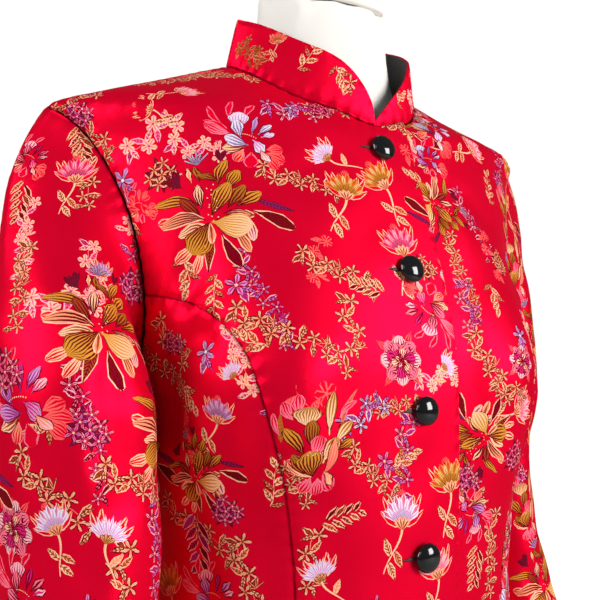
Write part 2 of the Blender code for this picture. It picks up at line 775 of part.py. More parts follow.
def sleeve_grid(name):
    """Rings of a sleeve from its armhole to its cuff, and the normals there."""
    table, cap_start = SLEEVES[name], CAP_START[name]
    ring = armhole_ring()
    angles = sleeve_angles(ring)
    biceps = table[0].drop
    starts, leaves, runs, first_normals, ends = [], [], [], [], []
    for (place, up, across), angle in zip(ring, angles):
        low = (1 - math.cos(angle)) / 2
        lift = math.radians(UNDERARM_TURN) * math.sqrt(low)
        starts.append(place + across * (SEAM / 2 + TWIST))
        leaves.append(across * math.cos(lift) + up * math.sin(lift))
        runs.append(cap_start + (UNDERARM_START - cap_start) * low)
        first_normals.append(up * math.cos(lift) - across * math.sin(lift))
        ends.append(arm_point(table, biceps, angle))
    for _ in range(CAP_ROUNDS):
        leaves = [leaves[k - 1] / 4 + leaves[k] / 2 + leaves[(k + 1) % len(leaves)] / 4
                  for k in range(len(leaves))]
    chains = [bezier(a, a + leave.normalized() * run, b + UP * ((b - a).length * CAP_END), b,
                     CAP_ROWS)
              for a, leave, run, b in zip(starts, leaves, runs, ends)]
    grid = [[chain[j] for chain in chains] for j in range(CAP_ROWS + 1)]
    cuff = table[-1].drop
    for j in range(1, ARM_ROWS + 1):
        drop = biceps + (cuff - biceps) * j / ARM_ROWS
        grid.append([arm_point(table, drop, angle) for angle in angles])
    normals = ring_normals(grid)
    normals[0] = first_normals
    return grid, normals


def make_sleeves(cloth):
    """Both sleeves, each a tube open at its armhole and its cuff."""
    for name in SLEEVES:
        grid, normals = sleeve_grid(name)
        grid = folded(grid, normals, SLEEVE_FOLDS[name])
        if name.startswith("right"):
            grid = [mirrored(line) for line in grid]
            normals = [mirrored(line) for line in normals]
        wall(name, grid, normals, cloth, ring=True)


def front_line():
    """Centre front from the neckline to the hem."""
    start = -plan_point(0).z
    return [front_point(0.0, start + (JACKET_LENGTH - start) * i / 300) for i in range(301)]


def button_places():
    """The place of each button on the centre front, and the normal there."""
    chain = front_line()
    wanted = [FIRST_BUTTON + BUTTON_SPACING * i for i in range(BUTTON_COUNT)]
    places, run = [], 0.0
    for a, b in zip(chain, chain[1:]):
        step = (b - a).length
        while len(places) < BUTTON_COUNT and run + step >= wanted[len(places)]:
            place = a.lerp(b, (wanted[len(places)] - run) / step)
            places.append((place, outward(place)))
        run += step
    return places


def revolve(name, profile, material, sides):
    """A solid of revolution about its own Z, from (radius, height) pairs, top to bottom."""
    mesh = bpy.data.meshes.new(name)
    mesh.from_pydata([(r, 0, z) for r, z in profile], [(i, i + 1) for i in range(len(profile) - 1)], [])
    thing = bpy.data.objects.new(name, mesh)
    bpy.data.collections[COLLECTION].objects.link(thing)
    screw = thing.modifiers.new("turn", "SCREW")
    screw.steps = screw.render_steps = sides
    screw.use_merge_vertices = True
    screw.merge_threshold = 0.00001
    mesh.materials.append(material)
    return thing


def make_buttons(material):
    """Domed buttons on short shanks, fastened down the centre front."""
    dome = [(BUTTON_RADIUS * math.sin(t), BUTTON_EDGE + (BUTTON_DEPTH - BUTTON_EDGE) * math.cos(t))
            for t in (math.radians(90 * i / BUTTON_RINGS) for i in range(BUTTON_RINGS + 1))]
    profile = dome + [(BUTTON_RADIUS * 0.90, BUTTON_SHANK), (SHANK_RADIUS, BUTTON_SHANK),
                      (SHANK_RADIUS, SEAM), (0.0, SEAM)]
    profile[0] = (0.0, BUTTON_DEPTH)
    for k, (place, facing) in enumerate(button_places()):
        button = revolve(f"button_{k + 1}", profile, material, BUTTON_SIDES)
        button.rotation_mode = "QUATERNION"
        button.rotation_quaternion = facing.to_track_quat("Z", "Y")
        button.location = place + UP * NECK_POINT_HEIGHT


def oval(row, steps):
    """A horizontal section of the dress form."""
    points = []
    for i in range(steps):
        angle = 2 * math.pi * i / steps
        s, c = math.sin(angle), math.cos(angle)
        depth = row.front if c > 0 else row.back
        scale = (abs(s) ** row.roundness + abs(c) ** row.roundness) ** (-1 / row.roundness)
        x = row.half_width * s * scale
        y = -depth * c * scale + row.side_shift * (x / row.half_width) ** 2
        points.append(Vector((x, y, -row.drop)))
    return points


def neck_ring(row, steps):
    """A ring of the neck, tipped forward."""
    points = []
    for i in range(steps):
        angle = 2 * math.pi * i / steps
        x, y = row.radius * math.sin(angle), -row.radius * math.cos(angle)
        points.append(Vector((x, y + row.centre_y, -row.drop + row.tilt * y)))
    return points


def closed_loft(name, rings, material):
    """Rings from top to bottom joined into one solid, its ends capped."""
    count = len(rings[0])
    points = [p for ring in rings for p in ring]
    faces = [tuple(range(count)), tuple(range(len(points) - count, len(points)))[::-1]]
    for j in range(len(rings) - 1):
        for i in range(count):
            k = (i + 1) % count
            low = (j + 1) * count
            faces.append((j * count + k, j * count + i, low + i, low + k))
    return solid(name, points, faces, material)


def root_ring(steps):
    """The ring where the form's neck meets its shoulders."""
    points = []
    for i in range(steps):
        edge = plan_point(360 * i / steps)
        points.append(Vector((edge.x * NECK_ROOT, edge.y * NECK_ROOT, edge.z + NECK_ROOT_RISE)))
    return points


def shoulder_ring(row, steps):
    """A ring of the form's shoulders, inside the cloth."""
    points = []
    for i in range(steps):
        angle = 360 * i / steps
        place = plan_point(angle, row.across, row.front, row.back)
        from_seat = (min(angle, 360 - angle) - SEAT_TURN) / SEAT_WIDTH
        room = row.room + (row.seat_room - row.room) * math.exp(-from_seat * from_seat)
        room += LAP_ROOM * max(0.0, math.cos(math.radians(angle))) ** 2
        points.append(place - outward(place) * (CLOTH + room))
    return points


def make_form(shell, metal):
    """Torso with its neck, the neck's cap, the pole and the base."""
    rings = [neck_ring(row, FORM_SIDES) for row in NECK] + [root_ring(FORM_SIDES)]
    rings += [shoulder_ring(row, FORM_SIDES) for row in SHOULDERS]
    first = oval(TORSO[0], FORM_SIDES)
    rings.append([(a + b) / 2 for a, b in zip(rings[-1], first)])
    for high, low in zip(TORSO, TORSO[1:]):
        rings.append(oval(high, FORM_SIDES))
        if low.drop - high.drop > FORM_STEP:
            drop = (high.drop + low.drop) / 2
            between = Form(drop, *(read(TORSO, name, drop) for name in Form._fields[1:]))
            rings.append(oval(between, FORM_SIDES))
    rings.append(oval(TORSO[-1], FORM_SIDES))
    closed_loft("form_torso", rings, shell)
    rim = NECK[0]
    bottom = TORSO[-1].drop
    up = Vector((0, -rim.tilt, 1)).normalized()
    base = Vector((0, rim.centre_y, -rim.drop)) + up * SEAM
    profile = [(CAP_RADIUS * turn.radius, CAP_HEIGHT * turn.height) for turn in CAP_PROFILE]
    cap = revolve("neck_cap", profile, shell, FORM_SIDES)
    cap.rotation_mode = "QUATERNION"
    cap.rotation_quaternion = up.to_track_quat("Z", "Y")
    cap.location = base + UP * NECK_POINT_HEIGHT
    pole_top = NECK_POINT_HEIGHT - bottom - SEAM
    foot_top = BASE_HEIGHT + SEAM
    revolve("stand_pole", [(0.0, pole_top), (POLE_RADIUS, pole_top), (POLE_RADIUS, foot_top),
                          (0.0, foot_top)], metal, FORM_SIDES)
    profile = [(BASE_RADIUS * turn.radius, BASE_HEIGHT * turn.height) for turn in BASE_PROFILE]
    revolve("stand_base", profile, metal, BASE_SIDES)


def finish(name, colour, roughness, metallic=0.0):
    """A plain material."""
    material = bpy.data.materials.new(name)
    material.use_nodes = True
    shader = material.node_tree.nodes["Principled BSDF"]
    shader.inputs["Base Color"].default_value = (*colour, 1.0)
    shader.inputs["Roughness"].default_value = roughness
    shader.inputs["Metallic"].default_value = metallic
    material.diffuse_color = (*colour, 1.0)
    return material


def main():
    for thing in list(bpy.data.objects):
        bpy.data.objects.remove(thing)
    group = bpy.data.collections.new(COLLECTION)
    bpy.context.scene.collection.children.link(group)
    cloth = finish("brocade", (0.75, 0.01, 0.04), 0.35)
    lining = finish("lining", (0.01, 0.01, 0.012), 0.5)
    button = finish("button", (0.006, 0.006, 0.007), 0.08)
    shell = finish("form_shell", (0.86, 0.84, 0.80), 0.5)
    metal = finish("stand_metal", (0.80, 0.80, 0.80), 0.3, 1.0)
    make_fronts(cloth)
    make_sides(cloth)
    make_back(cloth)
    make_sleeves(cloth)
    make_collar(cloth, lining)
    make_buttons(button)
    make_form(shell, metal)


if __name__ == "__main__":
    main()
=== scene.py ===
"""Tang jacket of silk brocade on a counter dress form, as a Blender add-on that is run as a script."""

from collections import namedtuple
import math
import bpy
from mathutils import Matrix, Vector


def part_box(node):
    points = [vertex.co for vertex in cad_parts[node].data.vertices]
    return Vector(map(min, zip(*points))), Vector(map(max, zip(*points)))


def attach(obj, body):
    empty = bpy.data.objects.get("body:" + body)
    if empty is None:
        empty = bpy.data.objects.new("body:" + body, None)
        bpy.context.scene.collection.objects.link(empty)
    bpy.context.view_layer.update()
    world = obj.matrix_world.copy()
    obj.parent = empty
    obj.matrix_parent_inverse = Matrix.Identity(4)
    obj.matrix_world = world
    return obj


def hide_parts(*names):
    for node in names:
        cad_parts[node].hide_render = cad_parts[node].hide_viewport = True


bl_info = {
    "name": "Tang jacket on dress form",
    "version": (1, 0, 0),
    "blender": (4, 5, 0),
    "location": "View3D > Sidebar > Tang Jacket",
    "description": "Builds the brocade panels, collar, buttons, dress form and studio",
    "category": "Object",
}

import bmesh
import bpy
import numpy as np
from bpy.props import FloatProperty, FloatVectorProperty, IntProperty, PointerProperty
from mathutils import Matrix, Vector
from mathutils.geometry import delaunay_2d_cdt
from mathutils.kdtree import KDTree

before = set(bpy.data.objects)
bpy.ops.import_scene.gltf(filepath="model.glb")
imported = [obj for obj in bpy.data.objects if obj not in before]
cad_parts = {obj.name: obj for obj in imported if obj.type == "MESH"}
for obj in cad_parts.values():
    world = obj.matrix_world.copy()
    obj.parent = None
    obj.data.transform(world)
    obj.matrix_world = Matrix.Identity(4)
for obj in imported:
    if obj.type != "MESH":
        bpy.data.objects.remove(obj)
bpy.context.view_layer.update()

# Sizes of the cut, in metres
NECK_POINT_HEIGHT = 0.860
CLOTH = 0.002
SEAM = 0.0003
TWIST = 0.0003
JACKET_LENGTH = 0.610
FRONT_LAP = 0.029
LAP_GAP = 0.0014
LAP_END = 0.038
LAP_EASE = 0.024
COLLAR_HEIGHT = 0.0375
COLLAR_TIP = 0.003
COLLAR_FOOT = 0.003
LINING = 0.001
LINING_BORDER = 0.010
LINING_START = 0.012
BUTTON_COUNT = 6
FIRST_BUTTON = 0.0205
BUTTON_SPACING = 0.0912
JOIN_DROP = 0.188

# Steps of the fine grids
FINE = 4
SEAM_ROWS = 24 * FINE
JOIN_ROWS = 8 * FINE
BACK_ROWS = 10 * FINE
SIDE_COLUMNS = 7 * FINE
SHOULDER_COLUMNS = 6 * FINE
NECK_COLUMNS = 8 * FINE
CAP_ROWS = 8 * FINE
ARM_ROWS = 12 * FINE
RELAX_ROUNDS = 12 * FINE ** 2
CAP_ROUNDS = 8 * FINE ** 2

# The body line, the outside of the cloth: horizontal sections from the neck down
Section = namedtuple("Section", "drop half_width front back side_shift roundness")
BODY = [Section(*row) for row in (
    (-0.006, 0.048, 0.012, 0.071, 0.020, 2.00), (0.006, 0.070, 0.018, 0.078, 0.020, 2.00),
    (0.017, 0.098, 0.026, 0.083, 0.018, 2.00), (0.026, 0.121, 0.036, 0.087, 0.017, 1.95),
    (0.037, 0.149, 0.047, 0.091, 0.015, 1.90), (0.049, 0.180, 0.059, 0.095, 0.013, 1.85),
    (0.060, 0.206, 0.071, 0.099, 0.011, 1.85), (0.072, 0.2025, 0.076, 0.102, 0.011, 1.90),
    (0.088, 0.1935, 0.081, 0.106, 0.011, 2.00), (0.107, 0.185, 0.087, 0.110, 0.010, 2.15),
    (0.145, 0.169, 0.100, 0.115, 0.007, 2.30), (0.180, 0.159, 0.110, 0.117, 0.005, 2.30),
    (0.210, 0.154, 0.116, 0.116, 0.003, 2.30), (0.240, 0.152, 0.119, 0.112, 0.001, 2.30),
    (0.300, 0.146, 0.119, 0.101, 0.000, 2.25), (0.370, 0.138, 0.117, 0.092, 0.000, 2.20),
    (0.440, 0.143, 0.117, 0.099, 0.000, 2.20), (0.520, 0.157, 0.121, 0.112, 0.000, 2.25),
    (0.610, 0.168, 0.125, 0.122, 0.000, 2.30),
)]

# Fullness that the princess seams sew in over the bust
BUST_OUT = 0.110
BUST_DROP = 0.243
BUST_FULLNESS = 0.029
BUST_WIDTH = 0.052
BUST_ABOVE = 0.062
BUST_BELOW = 0.105

Seam = namedtuple("Seam", "drop out")
PRINCESS = [Seam(*row) for row in (
    (0.1915, 0.144), (0.1955, 0.136), (0.205, 0.1265), (0.221, 0.118), (0.248, 0.111),
    (0.278, 0.103), (0.311, 0.0945), (0.364, 0.085), (0.440, 0.082), (0.520, 0.088), (0.610, 0.097),
)]

TIP_DROP = 0.060
ARMHOLE_FRONT = np.array((0.1615, -0.034, -0.160))
ARMHOLE_BACK = np.array((0.164, 0.050, -0.150))
UNDERARM_DROP = 0.236
# Which way the armhole leaves each of its places, and how far it holds that way
TIP_FORWARD = (-0.008, -0.030, -0.012)
FRONT_ABOVE = (0.004, 0, 0.045)
FRONT_BELOW = (-0.004, 0, -0.040)
UNDERARM_FORWARD = (0, -0.024, 0)
UNDERARM_REARWARD = (0, 0.030, 0)
BACK_BELOW = (-0.002, 0, -0.042)
BACK_ABOVE = (0.004, 0, 0.042)
TIP_REARWARD = (-0.008, 0.034, -0.010)

NECK_HALF_WIDTH = 0.075
NECK_FRONT = 0.0745
NECK_BACK = 0.0735
COLLAR_TOP_HALF_WIDTH = 0.067
COLLAR_TOP_FRONT = 0.079
COLLAR_TOP_BACK = 0.056
SHOULDER_ANGLE = 105

Sweep = namedtuple("Sweep", "length fullness flatness")
RIGHT_END = Sweep(0.060, 2.2, 2.2)
LEFT_END = Sweep(0.075, 1.5, 1.3)

Arm = namedtuple("Arm", "drop centre_x centre_y half_width half_depth turn roundness")
SLEEVES = {piece: [Arm(*row) for row in rows] for piece, rows in {
    "right_sleeve": (
        (0.266, 0.2010, -0.021, 0.045, 0.066, 16, 2.4),
        (0.320, 0.1985, -0.021, 0.045, 0.066, 17, 2.4),
        (0.400, 0.1990, -0.022, 0.045, 0.064, 16, 2.3),
        (0.500, 0.2080, -0.024, 0.046, 0.061, 12, 2.2),
        (0.615, 0.2220, -0.028, 0.046, 0.057, 10, 2.1),
    ),
    "left_sleeve": (
        (0.266, 0.1945, 0.029, 0.037, 0.066, 14, 2.0),
        (0.316, 0.1905, 0.034, 0.036, 0.065, 14, 2.0),
        (0.380, 0.1925, 0.034, 0.038, 0.063, 14, 2.0),
        (0.461, 0.2060, 0.024, 0.042, 0.062, 12, 2.0),
        (0.615, 0.2250, 0.010, 0.046, 0.058, 10, 2.1),
    ),
}.items()}
CAP_START = {"right_sleeve": 0.056, "left_sleeve": 0.058}
UNDERARM_START = 0.013
UNDERARM_TURN = 78
CAP_END = 0.42

# Folds: each is a trough along a line, mirrored on the body; below zero it is a ridge
Fold = namedtuple("Fold", "start end depth width")
BODY_FOLDS = [Fold(*row) for row in (
    ((0.143, -0.047, -0.248), (0.141, -0.050, -0.272), 0.0070, 0.013),
    ((0.132, -0.070, -0.160), (0.137, -0.067, -0.194), 0.0035, 0.012),
    ((0.132, -0.078, -0.214), (0.148, -0.042, -0.236), 0.0042, 0.010),
    ((0.121, -0.093, -0.270), (0.112, -0.094, -0.340), 0.0036, 0.013),
    ((0.062, 0.090, -0.320), (0.070, 0.085, -0.420), 0.0030, 0.015),
    ((0.120, 0.065, -0.250), (0.142, 0.030, -0.270), 0.0030, 0.012),
)]
BODY_CREASES = [Fold(*row) for row in (
    ((0.118, -0.084, -0.188), (0.140, -0.056, -0.206), -0.0022, 0.008),
    ((0.137, -0.062, -0.240), (0.128, -0.080, -0.262), 0.0024, 0.009),
    ((0.104, -0.060, -0.112), (0.132, -0.054, -0.150), 0.0019, 0.010),
    ((0.060, -0.090, -0.105), (0.100, -0.080, -0.128), 0.0013, 0.011),
    ((0.133, -0.062, -0.330), (0.126, -0.070, -0.400), 0.0028, 0.012),
    ((0.128, -0.074, -0.200), (0.098, -0.090, -0.232), -0.0016, 0.008),
    ((0.092, -0.104, -0.290), (0.104, -0.096, -0.380), 0.0036, 0.012),
    ((0.070, -0.112, -0.320), (0.060, -0.104, -0.430), 0.0022, 0.014),
    ((0.040, 0.098, -0.140), (0.110, 0.090, -0.165), 0.0018, 0.012),
    ((0.020, 0.092, -0.330), (0.052, 0.088, -0.352), 0.0016, 0.010),
)]
SLEEVE_FOLDS = {piece: [Fold(*row) for row in rows] for piece, rows in {
    "right_sleeve": (
        ((0.187, -0.087, -0.245), (0.182, -0.087, -0.305), 0.0045, 0.015),
        ((0.203, -0.084, -0.315), (0.205, -0.084, -0.365), 0.0035, 0.014),
        ((0.160, -0.020, -0.390), (0.190, -0.083, -0.430), 0.0045, 0.013),
        ((0.240, 0.020, -0.400), (0.215, 0.043, -0.440), 0.0040, 0.015),
        ((0.176, -0.055, -0.195), (0.190, -0.075, -0.240), 0.0022, 0.009),
        ((0.220, -0.070, -0.330), (0.196, -0.088, -0.345), 0.0022, 0.009),
        ((0.225, -0.010, -0.130), (0.240, -0.020, -0.200), 0.0018, 0.012),
    ),
    "left_sleeve": (
        ((0.180, -0.040, -0.250), (0.176, -0.037, -0.320), 0.0040, 0.015),
        ((0.160, 0.000, -0.390), (0.195, -0.040, -0.430), 0.0045, 0.013),
        ((0.240, 0.040, -0.400), (0.215, 0.078, -0.440), 0.0040, 0.015),
        ((0.180, -0.035, -0.170), (0.190, -0.040, -0.220), 0.0022, 0.010),
        ((0.225, 0.000, -0.280), (0.200, -0.030, -0.310), 0.0020, 0.010),
    ),
}.items()}
DROPS = np.linspace(-0.02, 0.66, 1361)


def read(table, column, where):
    """The value of a column at a drop, on a smooth curve through the rows."""
    drops = [row.drop for row in table]
    values = [getattr(row, column) for row in table]
    last = len(table) - 2
    k = min(max(sum(d <= where for d in drops) - 1, 0), last)

    def slope(i):
        low, high = max(i - 1, 0), min(i + 1, last + 1)
        return (values[high] - values[low]) / (drops[high] - drops[low])

    span = drops[k + 1] - drops[k]
    t = (where - drops[k]) / span
    if t < 0 or t > 1:
        edge = k if t < 0 else k + 1
        return values[edge] + slope(edge) * (where - drops[edge])
    return (values[k] * (1 + 2 * t) * (1 - t) ** 2 + slope(k) * span * t * (1 - t) ** 2
            + values[k + 1] * (3 - 2 * t) * t ** 2 - slope(k + 1) * span * (1 - t) * t ** 2)


def sampled(table):
    """Every column of a table, read at even drops."""
    return {name: np.array([read(table, name, d) for d in DROPS]) for name in table[0]._fields[1:]}


BODY_LINE = sampled(BODY)
ARM_LINES = {name: sampled(table) for name, table in SLEEVES.items()}


def at(lines, column, drop):
    """The values of a column at drops."""
    return np.interp(drop, DROPS, lines[column])


def unit(vectors):
    """The vectors, each brought to a length of one."""
    return vectors / np.maximum(np.linalg.norm(vectors, axis=-1, keepdims=True), 1e-12)


def doubled_area(loop):
    """Twice the area inside a flat loop; it is below zero if the loop runs clockwise."""
    x, y = loop[:, 0], loop[:, 1]
    return np.sum(x * np.roll(y, -1) - y * np.roll(x, -1))


def bust(x, drop):
    """Extra depth of the front over each bust."""
    rise = (drop - BUST_DROP) / np.where(drop < BUST_DROP, BUST_ABOVE, BUST_BELOW)
    out = (np.abs(x) - BUST_OUT) / BUST_WIDTH
    return BUST_FULLNESS * np.exp(-rise * rise - out * out)


def body_value(points):
    """Below zero inside the body line, above zero outside it."""
    x, y, drop = points[..., 0], points[..., 1], -points[..., 2]
    half_width = at(BODY_LINE, "half_width", drop)
    power = at(BODY_LINE, "roundness", drop)
    depth = y - at(BODY_LINE, "side_shift", drop) * (x / half_width) ** 2
    reach = np.where(depth < 0, at(BODY_LINE, "front", drop) + bust(x, drop),
                     at(BODY_LINE, "back", drop))
    inside = (np.abs(x) / half_width) ** power + (np.abs(depth) / reach) ** power
    return np.maximum(inside, 1e-12) ** (1 / power) - 1


PROBE = 0.0005                 # how far apart the body line is read to find its slope
SETTLE_REACH = 0.03            # how far one round moves a point at most
ARMHOLE_STEPS = 80


def outward(points):
    """Unit normals of the body line."""
    steps = np.eye(3) * PROBE
    return unit(np.stack([body_value(points + s) - body_value(points - s) for s in steps], -1))


def settle(points):
    """The points moved onto the body line."""
    for _ in range(5):
        direction = outward(points)
        ahead = body_value(points + direction * PROBE)
        behind = body_value(points - direction * PROBE)
        step = -body_value(points) / ((ahead - behind) / (2 * PROBE))
        points = points + direction * np.clip(step, -SETTLE_REACH, SETTLE_REACH)[..., None]
    return points


def spread(points, steps):
    """Points at equal distances along a chain."""
    points = np.asarray(points)
    run = np.concatenate(([0.0], np.cumsum(np.linalg.norm(np.diff(points, axis=0), axis=1))))
    wanted = np.linspace(0.0, run[-1], steps + 1)
    return np.stack([np.interp(wanted, run, points[:, k]) for k in range(points.shape[1])], -1)


def bezier(a, b, c, d, steps):
    """Points on a cubic curve."""
    t = np.linspace(0, 1, steps + 1)[:, None]
    s = 1 - t
    return a * s ** 3 + b * (3 * s * s * t) + c * (3 * s * t * t) + d * t ** 3


def halved(low, high, place):
    """The value between low and high at which a place crosses the body line."""
    for _ in range(40):
        middle = (low + high) / 2
        outside = body_value(place(middle)) > 0
        low, high = np.where(outside, middle, low), np.where(outside, high, middle)
    return high


def front_point(x, drop):
    """Places on the front at distances from the centre line and drops."""
    x, drop = np.broadcast_arrays(np.asarray(x, float), np.asarray(drop, float))
    low = np.full(x.shape, -0.30)
    high = at(BODY_LINE, "side_shift", drop)
    y = halved(low, high, lambda m: np.stack([x, m, -drop], -1))
    return np.stack([x, y, -drop], -1)


def side_point(drop):
    """Places on the side seam, or on the shoulder seam."""
    drop = np.asarray(drop, float)
    return np.stack([at(BODY_LINE, "half_width", drop), at(BODY_LINE, "side_shift", drop), -drop], -1)


def plan_point(angle):
    """Places on the neckline, by angle in degrees from the centre front."""
    turn = np.radians(np.asarray(angle, float))
    depth = np.where(np.cos(turn) > 0, NECK_FRONT, NECK_BACK)
    x, y = NECK_HALF_WIDTH * np.sin(turn), -depth * np.cos(turn)
    low, high = np.full(x.shape, -0.006), np.full(x.shape, 0.16)
    drop = halved(low, high, lambda m: np.stack([x, y, -m], -1))
    return np.stack([x, y, -drop], -1)


def armhole_front():
    """Shoulder tip to underarm along the front."""
    tip, underarm = side_point(TIP_DROP), side_point(UNDERARM_DROP)
    upper = bezier(tip, tip + TIP_FORWARD, ARMHOLE_FRONT + FRONT_ABOVE, ARMHOLE_FRONT,
                   ARMHOLE_STEPS)
    lower = bezier(ARMHOLE_FRONT, ARMHOLE_FRONT + FRONT_BELOW, underarm + UNDERARM_FORWARD,
                   underarm, ARMHOLE_STEPS)
    return settle(np.concatenate((upper, lower[1:])))


def armhole_back():
    """Underarm to shoulder tip along the back."""
    tip, underarm = side_point(TIP_DROP), side_point(UNDERARM_DROP)
    lower = bezier(underarm, underarm + UNDERARM_REARWARD, ARMHOLE_BACK + BACK_BELOW,
                   ARMHOLE_BACK, ARMHOLE_STEPS)
    upper = bezier(ARMHOLE_BACK, ARMHOLE_BACK + BACK_ABOVE, tip + TIP_REARWARD, tip,
                   ARMHOLE_STEPS)
    return settle(np.concatenate((lower, upper[1:])))


def split_armhole():
    """The front armhole above and below the princess seam."""
    chain = armhole_front()
    k = int(np.argmax(-chain[:, 2] > JOIN_DROP))
    share = (JOIN_DROP + chain[k - 1, 2]) / (chain[k - 1, 2] - chain[k, 2])
    join = chain[k - 1] + (chain[k] - chain[k - 1]) * share
    return (spread(np.vstack((chain[:k], join)), JOIN_ROWS),
            spread(np.vstack((join, chain[k:])), SIDE_COLUMNS))


def princess_seam(join):
    """Hem to armhole over the bust."""
    table = [Seam(-join[2], join[0])] + PRINCESS
    drops = np.linspace(JACKET_LENGTH, -join[2], 401)
    out = [read(table, "out", d) for d in drops]
    return settle(spread(front_point(out, drops), SEAM_ROWS))


def side_seam():
    """Hem to underarm."""
    return spread(side_point(np.linspace(JACKET_LENGTH, UNDERARM_DROP, 241)), SEAM_ROWS)


def shoulder_seam():
    """Collar to shoulder tip."""
    neck_drop = -plan_point(SHOULDER_ANGLE)[2]
    return spread(side_point(np.linspace(neck_drop, TIP_DROP, 81)), SHOULDER_COLUMNS)


def hem_part(start, end, steps):
    """The hem between two of its points."""
    share = np.linspace(0, 1, 161)[:, None]
    chain = settle(start * (1 - share) + end * share)
    chain[:, 2] = -JACKET_LENGTH
    return spread(chain, steps)


def patch(bottom, top, left, right):
    """A grid between four chains that share their corners, laid on the body line."""
    v = np.linspace(0, 1, len(left))[:, None, None]
    u = np.linspace(0, 1, len(bottom))[None, :, None]
    grid = (bottom[None] * (1 - v) + top[None] * v + left[:, None] * (1 - u) + right[:, None] * u
            - bottom[0] * ((1 - u) * (1 - v)) - bottom[-1] * (u * (1 - v))
            - top[0] * ((1 - u) * v) - top[-1] * (u * v))
    grid[1:-1, 1:-1] = settle(grid[1:-1, 1:-1])
    return grid


def relaxed(grid):
    """The grid with its inner points drawn evenly between their neighbours."""
    for _ in range(RELAX_ROUNDS):
        grid[1:-1, 1:-1] = (grid[:-2, 1:-1] + grid[2:, 1:-1] + grid[1:-1, :-2]
                            + grid[1:-1, 2:]) / 4
    grid[1:-1, 1:-1] = settle(grid[1:-1, 1:-1])
    return grid


def mirrored(points):
    """The same places on the wearer's right."""
    return points * (-1, 1, 1)


def front_grid():
    """Centre front panel: columns from its free edge to the princess seam."""
    upper, _ = split_armhole()
    seam = princess_seam(upper[-1])
    side = np.vstack((seam, upper[-2::-1]))
    first = -math.degrees(math.asin(FRONT_LAP / NECK_HALF_WIDTH))
    neck = spread(plan_point(np.linspace(first, SHOULDER_ANGLE, 161)), NECK_COLUMNS)
    top = np.vstack((neck[:-1], shoulder_seam()))
    edge = front_point(-FRONT_LAP, np.linspace(JACKET_LENGTH, -top[0][2], len(side)))
    edge[-1] = top[0]
    bottom = hem_part(edge[0], side[0], len(top) - 1)
    bottom[0], bottom[-1] = edge[0], side[0]
    return relaxed(patch(bottom, top, edge, side))


def side_grid():
    """Side front panel: columns from the princess seam to the side seam."""
    upper, lower = split_armhole()
    left, right = princess_seam(upper[-1]), side_seam()
    return patch(hem_part(left[0], right[0], SIDE_COLUMNS), lower, left, right)


def back_grid():
    """Back panel: columns from the right side seam to the left one."""
    left = np.vstack((side_seam()[:-1], spread(armhole_back(), BACK_ROWS)))
    right = mirrored(left)
    shoulder = shoulder_seam()
    neck = spread(plan_point(np.linspace(-SHOULDER_ANGLE, SHOULDER_ANGLE - 360, 201)),
                  10 * FINE)
    top = np.vstack((mirrored(shoulder)[::-1], neck[1:-1], shoulder))
    turn = np.linspace(0, math.pi, 321)
    chain = np.stack([-at(BODY_LINE, "half_width", JACKET_LENGTH) * np.cos(turn),
                      at(BODY_LINE, "back", JACKET_LENGTH) * np.sin(turn),
                      np.full(turn.shape, -JACKET_LENGTH)], -1)
    chain = settle(chain)
    chain[:, 2] = -JACKET_LENGTH
    bottom = spread(chain, len(top) - 1)
    bottom[0], bottom[-1] = right[0], left[0]
    return relaxed(patch(bottom, top, right, left))


def fold_depth(folds, points):
    """How far the folds sink the cloth."""
    depth = np.zeros(points.shape[:-1])
    for fold in folds:
        start, end = np.array(fold.start), np.array(fold.end)
        along = end - start
        share = np.clip((points - start) @ along / (along @ along), 0, 1)
        gap = np.linalg.norm(points - start - share[..., None] * along, axis=-1) / fold.width
        depth = depth + fold.depth * np.exp(-gap * gap)
    return depth


def drape(points):
    """Slow unevenness of the hanging cloth."""
    x, y, z = points[..., 0], points[..., 1], points[..., 2]
    return (0.0006 * np.sin(61 * z + 23 * x + 1.3) * np.cos(34 * x - 18 * y + 17 * z)
            + 0.0004 * np.sin(112 * z - 71 * x + 0.4) * np.sin(57 * y + 43 * x + 2.0))


def trimmed(grid, normals, edges):
    """The grid with its named seamed edges drawn back by half a seam."""
    result = grid.copy()
    rows, columns = grid.shape[:2]
    along_row = np.gradient(grid, axis=1)
    along_column = np.gradient(grid, axis=0)
    cases = {"left": ((slice(None), 0), along_column, along_row),
             "right": ((slice(None), columns - 1), along_column, -along_row),
             "bottom": ((0, slice(None)), along_row, along_column),
             "top": ((rows - 1, slice(None)), along_row, -along_column)}
    for name in edges:
        place, tangent, inside = cases[name]
        across = unit(np.cross(normals[place], tangent[place]))
        side = np.sign(np.sum(across * inside[place], -1, keepdims=True))
        result[place] += across * side * (SEAM / 2)
    return result


def lap_depth(x):
    """How far the under front lies inside the body line, by distance past the centre."""
    t = np.clip((x - LAP_END) / LAP_EASE, 0, 1)
    return (CLOTH + LAP_GAP) * (1 - t * t * (3 - 2 * t))


def ring_normals(grid):
    """Outward normals of a tube given by its rings."""
    around = np.roll(grid, -1, axis=1) - np.roll(grid, 1, axis=1)
    return unit(np.cross(around, np.gradient(grid, axis=0)))


def arm_point(lines, drop, angle):
    """Places on the hanging part of a sleeve."""
    turn = np.radians(at(lines, "turn", drop))
    power = at(lines, "roundness", drop)
    swell = (np.abs(np.cos(angle)) ** power + np.abs(np.sin(angle)) ** power) ** (-1 / power)
    out = at(lines, "half_width", drop) * np.cos(angle) * swell
    ahead = at(lines, "half_depth", drop) * np.sin(angle) * swell
    return np.stack([at(lines, "centre_x", drop) + out * np.cos(turn) - ahead * np.sin(turn),
                     at(lines, "centre_y", drop) - out * np.sin(turn) - ahead * np.cos(turn),
                     np.broadcast_to(-drop, out.shape)], -1)


